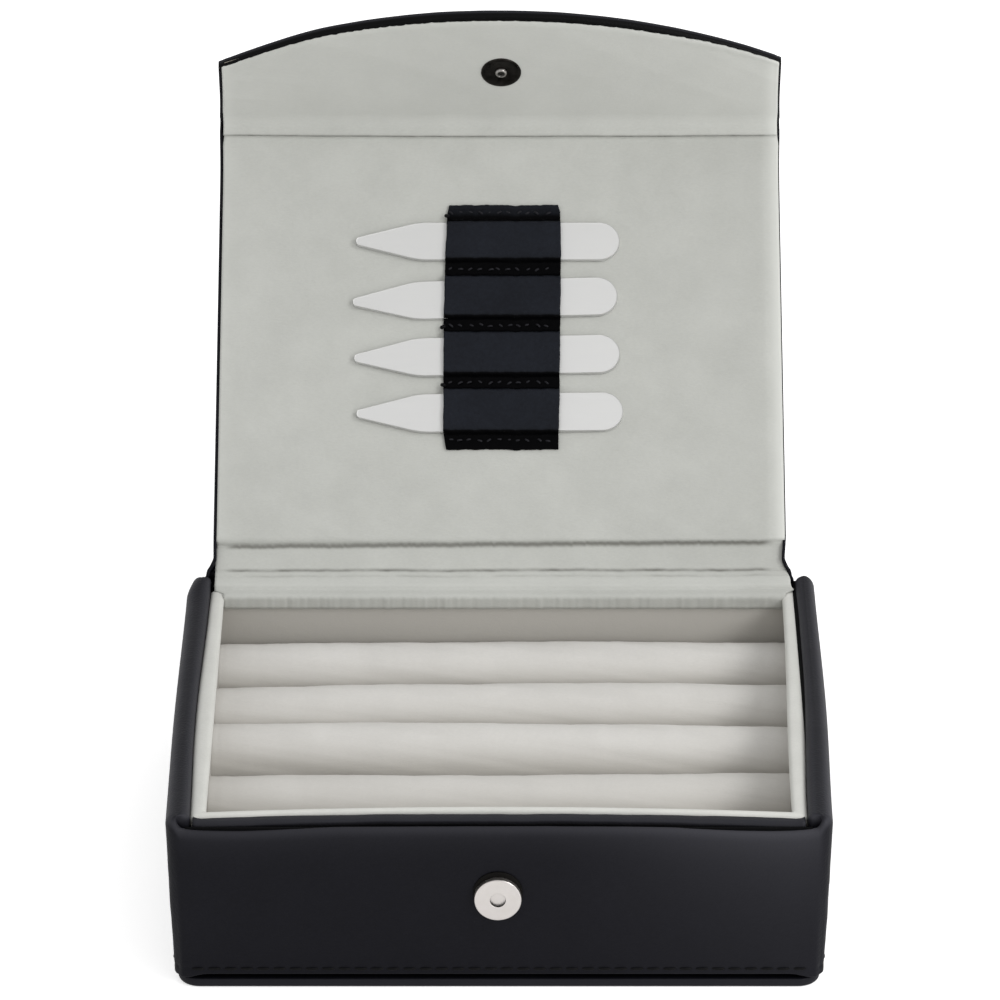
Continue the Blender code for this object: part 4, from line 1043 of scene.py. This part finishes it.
# %% Leather of the flap
FLAP_OUT_LEATHER, TURNED_IN = 1.6, -0.72
TURNED_IN_BY, EDGE_ROUND = 2.4, 0.8
lid_rows = straight((COVER_SEAM, 0.0), (FOLD_AT, 0.0), 0.8)[:-1, :1]
fold_rows = np.linspace(0.0, 1.0, 9)[:-1, None]
flap_rows = np.concatenate([np.linspace(0.0, 0.25, 16), np.linspace(0.25, 1.0, 40)[1:]])[:, None]
q = np.radians(np.linspace(0.0, 90.0, 7))[1:, None]
over, across = EDGE_ROUND * (1 - np.sin(q)), EDGE_ROUND * (1 - np.cos(q))
thick = FLAP_OUT_LEATHER - TURNED_IN
edge_in = np.concatenate([over, 0.0 * q[:2], across, [[EDGE_ROUND + 0.8], [TURNED_IN_BY]]])
edge_down = np.concatenate([across, [[thick / 2], [thick - EDGE_ROUND]], thick - over, [[thick], [thick]]])
rows = [len(lid_rows), len(fold_rows), len(flap_rows), len(edge_in)]
row_kind = np.repeat(np.arange(4), rows)[:, None]
distance = np.concatenate([lid_rows - FOLD_AT, 0 * fold_rows, flap_rows * 30.0, 30.0 + 0 * edge_in])
lip = LIP_DEPTH * (1 - 0.75 * hump(distance, 0.0, 2.2)) * (row_kind < 3) + 0.02
lip = lip * (1 - ease(distance, 29.2, 29.9)) + 0.02
x, down = across_with_lips(flap_half + 0 * lip, lip)
x = wider(x, FOLD_AT + distance)
part = np.cumsum([0] + rows)
x_lid, x_fold, x_flap, x_edge = (x[a:b] for a, b in zip(part, part[1:]))
down_lid, down_fold, down_flap = (down[a:b] for a, b in zip(part, part[1:4]))
lid_piece = on_lid(x_lid, lid_rows, COVER_OUT - down_lid)
turn_now = lid_turn + fold_rows * (flap_turn - lid_turn)
radius = FLAP_OUT_LEATHER - down_fold + 0.10 * ripple(x_fold, 17.0, 61) * np.sin(np.pi * fold_rows)
fold_piece = stack(x_fold, fold[1] + radius * np.sin(turn_now), fold[2] - radius * np.cos(turn_now))
reach = flap_edge(x_flap) - EDGE_ROUND
flap_out = FLAP_OUT_LEATHER - down_flap + 0.06 * ripple(x_flap / 2, 30.0, 62)
flap_piece = on_flap(x_flap, flap_rows * reach, flap_out)
lean_out = x_edge / flap_radius
edge_x = x_edge - lean_out * (edge_in - EDGE_ROUND) * (np.abs(x_edge) < flap_half - 1.0)
edge_t = flap_edge(x_edge) - edge_in * np.sqrt(1 - lean_out**2)
edge_piece = on_flap(edge_x, edge_t, FLAP_OUT_LEATHER - edge_down + 0.06 * ripple(x_edge / 2, 30.0, 62))
tone = np.zeros(x.shape)
# Painted light: in the edge rows the lower half of the edge and the turned-in part are toned near-black, as shade
# under the edge, and the upper half lighter, as sheen.
tone[part[3]:] = 0.3 - 1.3 * (edge_down > thick / 2 + 0.1)
flap_table = np.concatenate([lid_piece, fold_piece, flap_piece, edge_piece])
flap_cover = sheet("flap_cover", flap_table, COVER, tone=tone)
settle(flap_cover, None, "leather", black_leather, "flap_leather")
tuple(on_lid(0.0, FOLD_AT - 1.6, 0.0) * MM)
tuple(on_flap(0.0, 1.6, 0.0) * MM)
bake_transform(flap_cover)

# %% [markdown]
# ## Strap for the collar stays
#
# A strip of leather is stitched to the lid in five rows, and between the rows it stands up in four flat
# loops. Its side view is worked out once as a line with rounded corners: a step up, a flat top, a step
# down. The flat tops sag a little at mid-width, and in each valley a row of stitches pulls it tight. At its
# left edge three rows end in a knot of thread, and each is a short tube along a curve.

# %% Strap
STRAP_LEFT = ([30.0, 34.0, 62.0, 80.0, 91.0, 93.1], [-12.55, -13.2, -13.2, -12.85, -12.35, -11.9])
STRAP_RIGHT = ([30.0, 42.0, 62.0, 80.0, 91.5, 93.1], [14.05, 14.35, 14.6, 14.85, 14.7, 14.2])
LOOP_PITCH = 14.8
VALLEYS = 32.3 + LOOP_PITCH * np.arange(5)
VALLEY_OUT, LOOP_OUT = -2.35, -3.75
STRAP = 0.5
STRAP_STITCH = 2.3
strap_corners = [(29.9, -1.9), (29.95, -2.4)]
for valley, upper, early in zip(VALLEYS, VALLEYS[1:], (0.0, 0.1, 0.4, 0.9)):
    strap_corners += [(valley + 1.1, VALLEY_OUT), (valley + 1.7, LOOP_OUT), (upper - 2.5 - early, LOOP_OUT),
                      (upper - 1.5 - early, VALLEY_OUT)]
strap_corners += [(93.1, -2.4), (93.15, -1.9)]
strap_side = rounded(strap_corners, [0.2] + [0.45] * 16 + [0.2], 0.55, steps=5)
along_strap, out_strap = strap_side[:, :1], strap_side[:, 1:]
u = np.linspace(0.0, 1.0, 73)[None, :]
strap_left = np.interp(along_strap, *STRAP_LEFT) + 0.06 * ripple(along_strap, 14.0, 71)
strap_right = np.interp(along_strap, *STRAP_RIGHT) + 0.06 * ripple(along_strap, 14.0, 75)
x = strap_left + u * (strap_right - strap_left)
raised = ease(-out_strap, -VALLEY_OUT + 0.2, -LOOP_OUT - 0.2)
past = along_strap - VALLEYS[np.abs(along_strap - VALLEYS[None, :]).argmin(axis=1)][:, None]
out = out_strap + raised * (0.10 * np.sin(np.pi * u) + 0.07 * ripple(x + 3.0 * along_strap, 21.0, 72))
out = out + 0.16 * hump(past, 0.0, 0.5) * (0.6 + 0.4 * np.cos(2 * np.pi * x / STRAP_STITCH))
along = along_strap + 0.12 * ripple(x, 18.0, 73) * (1 - raised) + 0.08 * ripple(x, 5.0, 74)
after_valley = (past > 0) * (1 - ease(past, 1.9, 2.3))
last_row = 0.55 * ease(along_strap, 89.9, 91.2) + 0.2 * ease(along_strap, 91.9, 92.5)
# Painted shade: the valleys, and a short strip after each, are toned near-black and less glossy, as shade between
# the loops; the top row gets less of it.
valley_shade = np.maximum(1 - ease(raised, 0.4, 0.95), after_valley) * (1 - last_row)
strap = sheet("strap_leather", on_lid(x, along, out), STRAP, flip=True, tone=-valley_shade)
settle(strap, "lid", "leather", strap_leather, "stay_strap")

# %% Thread of the strap


def tube(name, points, thickness):
    """A round thread along a line of points: each ring is r cos v and r sin v in two sideways directions."""
    direction = unit(np.gradient(points, axis=0))
    first = unit(np.cross(direction, [0.3, 0.5, 0.8]))
    second = np.cross(direction, first)
    v = np.linspace(0.0, 2 * np.pi, 9)[None, :, None]
    radius = thickness / 2 * np.sqrt(1 - np.linspace(-1.0, 1.0, len(points))[:, None, None] ** 8)
    rings = points[:, None] + radius * (np.cos(v) * first[:, None] + np.sin(v) * second[:, None])
    return new_piece(name, rings, grid_faces(len(points), 9))


stitch_x = np.arange(-11.4, 13.6, STRAP_STITCH)
random = np.random.default_rng(7)
rows_at = VALLEYS + [-0.1, -0.1, -0.2, -0.45, -0.45]
middles = np.concatenate([on_lid(stitch_x, row_at, VALLEY_OUT - 0.02) for row_at in rows_at])
middles = middles + random.uniform(-0.4, 0.4, middles.shape) * [1.0, 0.8, 0.3]
slant = np.array([[1.0, 0.0, 0.0]]) + random.uniform(-0.9, 0.9, (len(middles), 1)) * lid_along
outs = np.broadcast_to(-lid_out, middles.shape)
slant = unit(slant)
strap_stitches = beads("strap_stitches", middles, slant, outs, 1.5, thickness=0.5, sink=0.35, tone=0.38)
settle(strap_stitches, "lid", "leather", thread_black)
t = np.linspace(0.0, 1.0, 15)
knot_places = [(VALLEYS[4] - 1.6, 0.5, 0.3), (VALLEYS[2] - 0.75, 0.7, -0.3), (VALLEYS[1] - 1.1, 0.5, 0.3)]
for number, (valley, reach, droop) in enumerate(knot_places):
    edge = np.interp(valley, *STRAP_LEFT) + 0.4
    curve = on_lid(edge - (reach + 0.4) * t, valley + droop * t**2, -2.45 - 0.5 * np.sin(np.pi * t))
    settle(tube(f"thread_knot_{number + 1}", curve, 0.9), "lid", "leather", thread_black)

# %% [markdown]
# ## Collar stays
#
# A stay is stamped from sheet steel, round at one end and pointed at the other, and its edges are rolled
# soft. Its outline is one closed line, and the plate is made of rings of that line. At the rim they follow
# two quarter circles, inwards and up, and the last two on each face are shrunk towards the middle.

# %% Plates with a soft rim


def soft_plate(name, outline, low, high, edge, place):
    """Rings of a counter-clockwise outline between the levels low and high, set in the room by place."""
    step = unit(np.roll(outline[:-1], -1, axis=0) - np.roll(outline[:-1], 1, axis=0))
    inward = closed(across_line(step))
    q = np.radians(np.linspace(0.0, 90.0, 6))
    middle = outline[:-1].mean(axis=0)
    insets = np.concatenate([edge * (1 - np.sin(q)), edge * (1 - np.cos(q))])
    levels = np.concatenate([low + edge * (1 - np.cos(q)), high - edge * (1 - np.sin(q))])
    rings = [middle + (outline - middle) * 0.0, outline + inward * (edge + 0.1)]
    rings += [outline + inward * inset for inset in insets]
    rings += rings[1::-1]
    levels = np.concatenate([[low, low], levels, [high, high]])
    points = np.stack([place(ring[:, 0], ring[:, 1], level) for ring, level in zip(rings, levels)])
    return new_piece(name, points, grid_faces(*points.shape[:2]))


# %% Stays
STAY_LENGTH, STAY_WIDTH, STAY_TAPER, STAY_TIP = 63.1, 9.65, 15.0, 0.85
STAY_LOW, STAY_HIGH, STAY_ROUND = -2.1, -2.9, 0.14
stay_places = [(-2.68, 0.0, -0.75), (-3.3, 1.5, -0.97), (-2.85, 1.15, -0.9), (-2.18, 0.6, -0.65)]


def stay_outline():
    """Counter-clockwise from the round end: half a circle, the long upper side, the point, the lower side."""
    half, width, point = STAY_LENGTH / 2, STAY_WIDTH / 2, STAY_TIP - 0.05
    corners = [(half - width, width), (-half + STAY_TAPER, width), (-half, STAY_TIP), (-half, -STAY_TIP),
               (-half + STAY_TAPER, -width), (half - width, -width)]
    long_sides = rounded(corners, [2.5, point, point, 2.5], 2.0, steps=6)[1:-1]
    return closed(np.concatenate([arc((half - width, 0.0), width, -90, 90, 25), long_sides]))


def make_stay(number, middle, tilt, shift):
    """A stay whose long axis is turned by tilt degrees in the lid's plane."""
    turn = math.radians(tilt)
    along_middle = VALLEYS[4 - number] + LOOP_PITCH / 2 + shift

    def place(a, b, level):
        return on_lid(middle + a * math.cos(turn) - b * math.sin(turn),
                      along_middle + a * math.sin(turn) + b * math.cos(turn), level)

    stay = soft_plate(f"stay_{number}_steel", stay_outline(), STAY_LOW, STAY_HIGH, STAY_ROUND, place)
    return settle(stay, f"stay_{number}", "stay_metal", stay_steel, f"collar_stay_{number}")


for number, place in enumerate(stay_places):
    make_stay(number + 1, *place)

# %% [markdown]
# ## Magnetic snap
#
# Both halves of the snap are pressings with a round plan, so each is one profile turned about its axis. The
# socket on the front is a nickel pill with a hole in its middle, whose wall is painted dark as shade. Round it,
# a little oval and set higher, lies a slightly larger near-black disc: painted shade that stands in for the dip
# in the leather round the socket. The stud on the flap is a dark shallow dish with a short post that has a
# dimple in its end; the post is a darker copy of the nickel, painted shade, and its dimple is painted darker
# still as shade.

# %% Turned parts


def turned(name, profile, place, tone=0.0):
    """A profile of radius and level turned about its axis: a = r cos v, b = r sin v."""
    v = np.linspace(0.0, 2 * np.pi, 73)[None, :]
    radius, level = profile[:, :1], profile[:, 1:]
    points = place(radius * np.cos(v), radius * np.sin(v), level + 0.0 * v)
    return new_piece(name, points, grid_faces(*points.shape[:2]), smooth_angle=40.0, tone=tone)


def on_front(a, b, level):
    """A place on the box's front, level mm out of its face, round the middle of the socket."""
    return stack(socket_x + a, front - level, socket_z + b)


def on_flap_lining(a, b, level):
    """A place on the flap's lining, level mm out of it, round the middle of the stud."""
    return on_flap(0.5 + a, STUD_AT + b, FLAP_OUT - level)


def on_shade_disc(a, b, level):
    """A place on the box's front for the disc of painted shade, which is a little oval and sits higher than the
    socket.
    """
    return on_front(a * 0.95, b * 0.92 + 1.2, level)


socket_low, socket_high = box_mm("socket_casing")
socket_x, socket_z = (socket_low[0] + socket_high[0]) / 2 - 0.25, (socket_low[2] + socket_high[2]) / 2 - 0.25
socket_radius = (socket_high[0] - socket_low[0]) / 2
stud_low, stud_high = box_mm("snap_stud")
stud_radius = (stud_high[0] - stud_low[0]) / 2
STUD_AT = 18.5
HOLE = 1.7
socket_corners = [
    (0.0, 1.1), (HOLE, 1.1), (HOLE, 1.8), (socket_radius, 1.75), (socket_radius, 0.3), (0.0, 0.3),
]
socket_profile = rounded(socket_corners, [0.05, 0.16, 0.3, 0.05], 0.3, steps=6)
# Painted shade: the wall of the hole is toned near-black.
hole_wall = np.abs(socket_profile[:, :1] - HOLE) < 0.02
settle(turned("socket_pill", socket_profile, on_front, -1.0 * hole_wall), "box", "bright_metal", nickel,
       "socket_casing")
# Painted shade: a near-black disc round the socket, oval and set higher, stands in for the shade where the leather
# dips round it.
shade_disc_radius = socket_radius + 0.55
shade_disc_corners = [(0.0, 0.1), (shade_disc_radius, 0.1), (shade_disc_radius, 0.42), (socket_radius - 0.6, 0.5), (0.0, 0.5)]
shade_disc_profile = rounded(shade_disc_corners, [0.05, 0.12, 0.3], 0.8, steps=5)
settle(turned("socket_shade_disc", shade_disc_profile, on_shade_disc, -1.0), "box", "dark_metal", magnet_black)
stud_corners = [
    (0.0, -0.3), (stud_radius, -0.3), (stud_radius, 0.2), (stud_radius - 0.6, 0.28), (1.9, 0.08), (0.0, 0.05),
]
stud_profile = rounded(stud_corners, [0.1, 0.15, 0.3, 0.15], 0.4, steps=5)
settle(turned("stud_dish", stud_profile, on_flap_lining), "flap", "dark_metal", gunmetal, "snap_stud")
nub_corners = [(0.0, -0.2), (1.4, -0.2), (1.45, 0.45), (0.9, 0.8), (0.7, 0.4), (0.0, 0.35)]
nub_profile = rounded(nub_corners, [0.1, 0.3, 0.25, 0.1], 0.2, steps=5)
# Painted shade: the dimple in the post is toned darker.
dimple = nub_profile[:, :1] < 0.85
settle(turned("stud_rivet", nub_profile, on_flap_lining, -0.85 * dimple), "flap", "bright_metal", shaded_nickel)
print("socket and stud have radii of", socket_radius, "and", stud_radius, "mm")

# %% [markdown]
# ## Floor, light and camera
#
# A studio table is white paper lit by large soft lamps. The paper is a little darker than white under the
# lamps, so the camera sees extra light from it, which its shadow still darkens. The camera stands 1.3 m away
# with a long lens, which is why the sides of the box stay nearly parallel.

# %% Floor and world
FLOOR_SIZE, FLOOR_LEVEL = 6000.0, -0.2
AMBIENT = 0.8


def make_paper():
    """White paper that adds a little light of its own, and more where the camera sees it."""
    material, tree, shader, place = new_material("white_paper", Roughness=0.9, Specular_IOR_Level=0.1)
    grain = add_node(tree, "TexNoise", [place, None, 1 / (2.0 * MM), 3.0])
    shade = add_node(tree, "Mix", {0: grain, 6: "F4F4F4", 7: "F8F8F8"}, 2, data_type="RGBA")
    seen = add_node(tree, "LightPath", [], "Is Camera Ray")
    glow = add_node(tree, "MapRange", [seen, 0.0, 1.0, 0.14, 0.5])
    set_inputs(tree, shader, {"Base Color": shade, "Emission Color": "FFFFFF", "Emission Strength": glow})
    return material


edge = np.array([-FLOOR_SIZE / 2, FLOOR_SIZE / 2])
floor_points = stack(edge[:, None], edge[None, :], FLOOR_LEVEL)
floor = new_piece("studio_floor", floor_points, grid_faces(2, 2), closed=False)
floor.data.materials.append(make_paper())
world = bpy.data.worlds.new("studio")
bpy.context.scene.world = world
world.use_nodes = True
tree = world.node_tree
seen = add_node(tree, "LightPath", [], "Is Camera Ray")
strength = add_node(tree, "MapRange", [seen, 0.0, 1.0, AMBIENT, 1.0])
set_inputs(tree, tree.nodes["Background"], {"Color": "FFFFFF", "Strength": strength})
print("floor and world are ready")

# %% Lamps


def add_lamp(name, place, target, size, power):
    """A square softbox at place that faces target. Sizes are in metres and power in watts."""
    lamp = bpy.data.lights.new(name, "AREA")
    lamp.shape = "SQUARE"
    lamp.size = size
    lamp.energy = power
    holder = bpy.data.objects.new(name, lamp)
    bpy.context.scene.collection.objects.link(holder)
    holder.location = place
    holder.rotation_mode = "QUATERNION"
    holder.rotation_quaternion = (Vector(target) - Vector(place)).to_track_quat("-Z", "Y")


add_lamp("key_softbox", (0.95, -0.35, 0.95), (0.0, 0.0, 0.05), 0.5, 5.0)
add_lamp("low_softbox", (0.3, -0.32, 0.22), (0.12, -0.16, 0.0), 0.12, 0.5)
print("two lamps are ready")

# %% Camera
CAMERA_DISTANCE, CAMERA_AIM_HEIGHT = 1.30772, 0.09294
CAMERA_PITCH = math.radians(28.26)
LENS_MM = 211.3
camera_data = bpy.data.cameras.new("photo_camera")
camera_data.lens = LENS_MM
camera_data.sensor_width = 36.0
camera_data.shift_x = 0.001
camera = bpy.data.objects.new("photo_camera", camera_data)
bpy.context.scene.collection.objects.link(camera)
back = CAMERA_DISTANCE * math.cos(CAMERA_PITCH)
camera.location = (0.0, -back, CAMERA_AIM_HEIGHT + CAMERA_DISTANCE * math.sin(CAMERA_PITCH))
camera.rotation_euler = (math.pi / 2 - CAMERA_PITCH, 0.0, 0.0)
bpy.context.scene.camera = camera
bpy.context.scene.view_settings.view_transform = "Standard"
print("camera looks down at", round(math.degrees(CAMERA_PITCH), 2), "degrees")
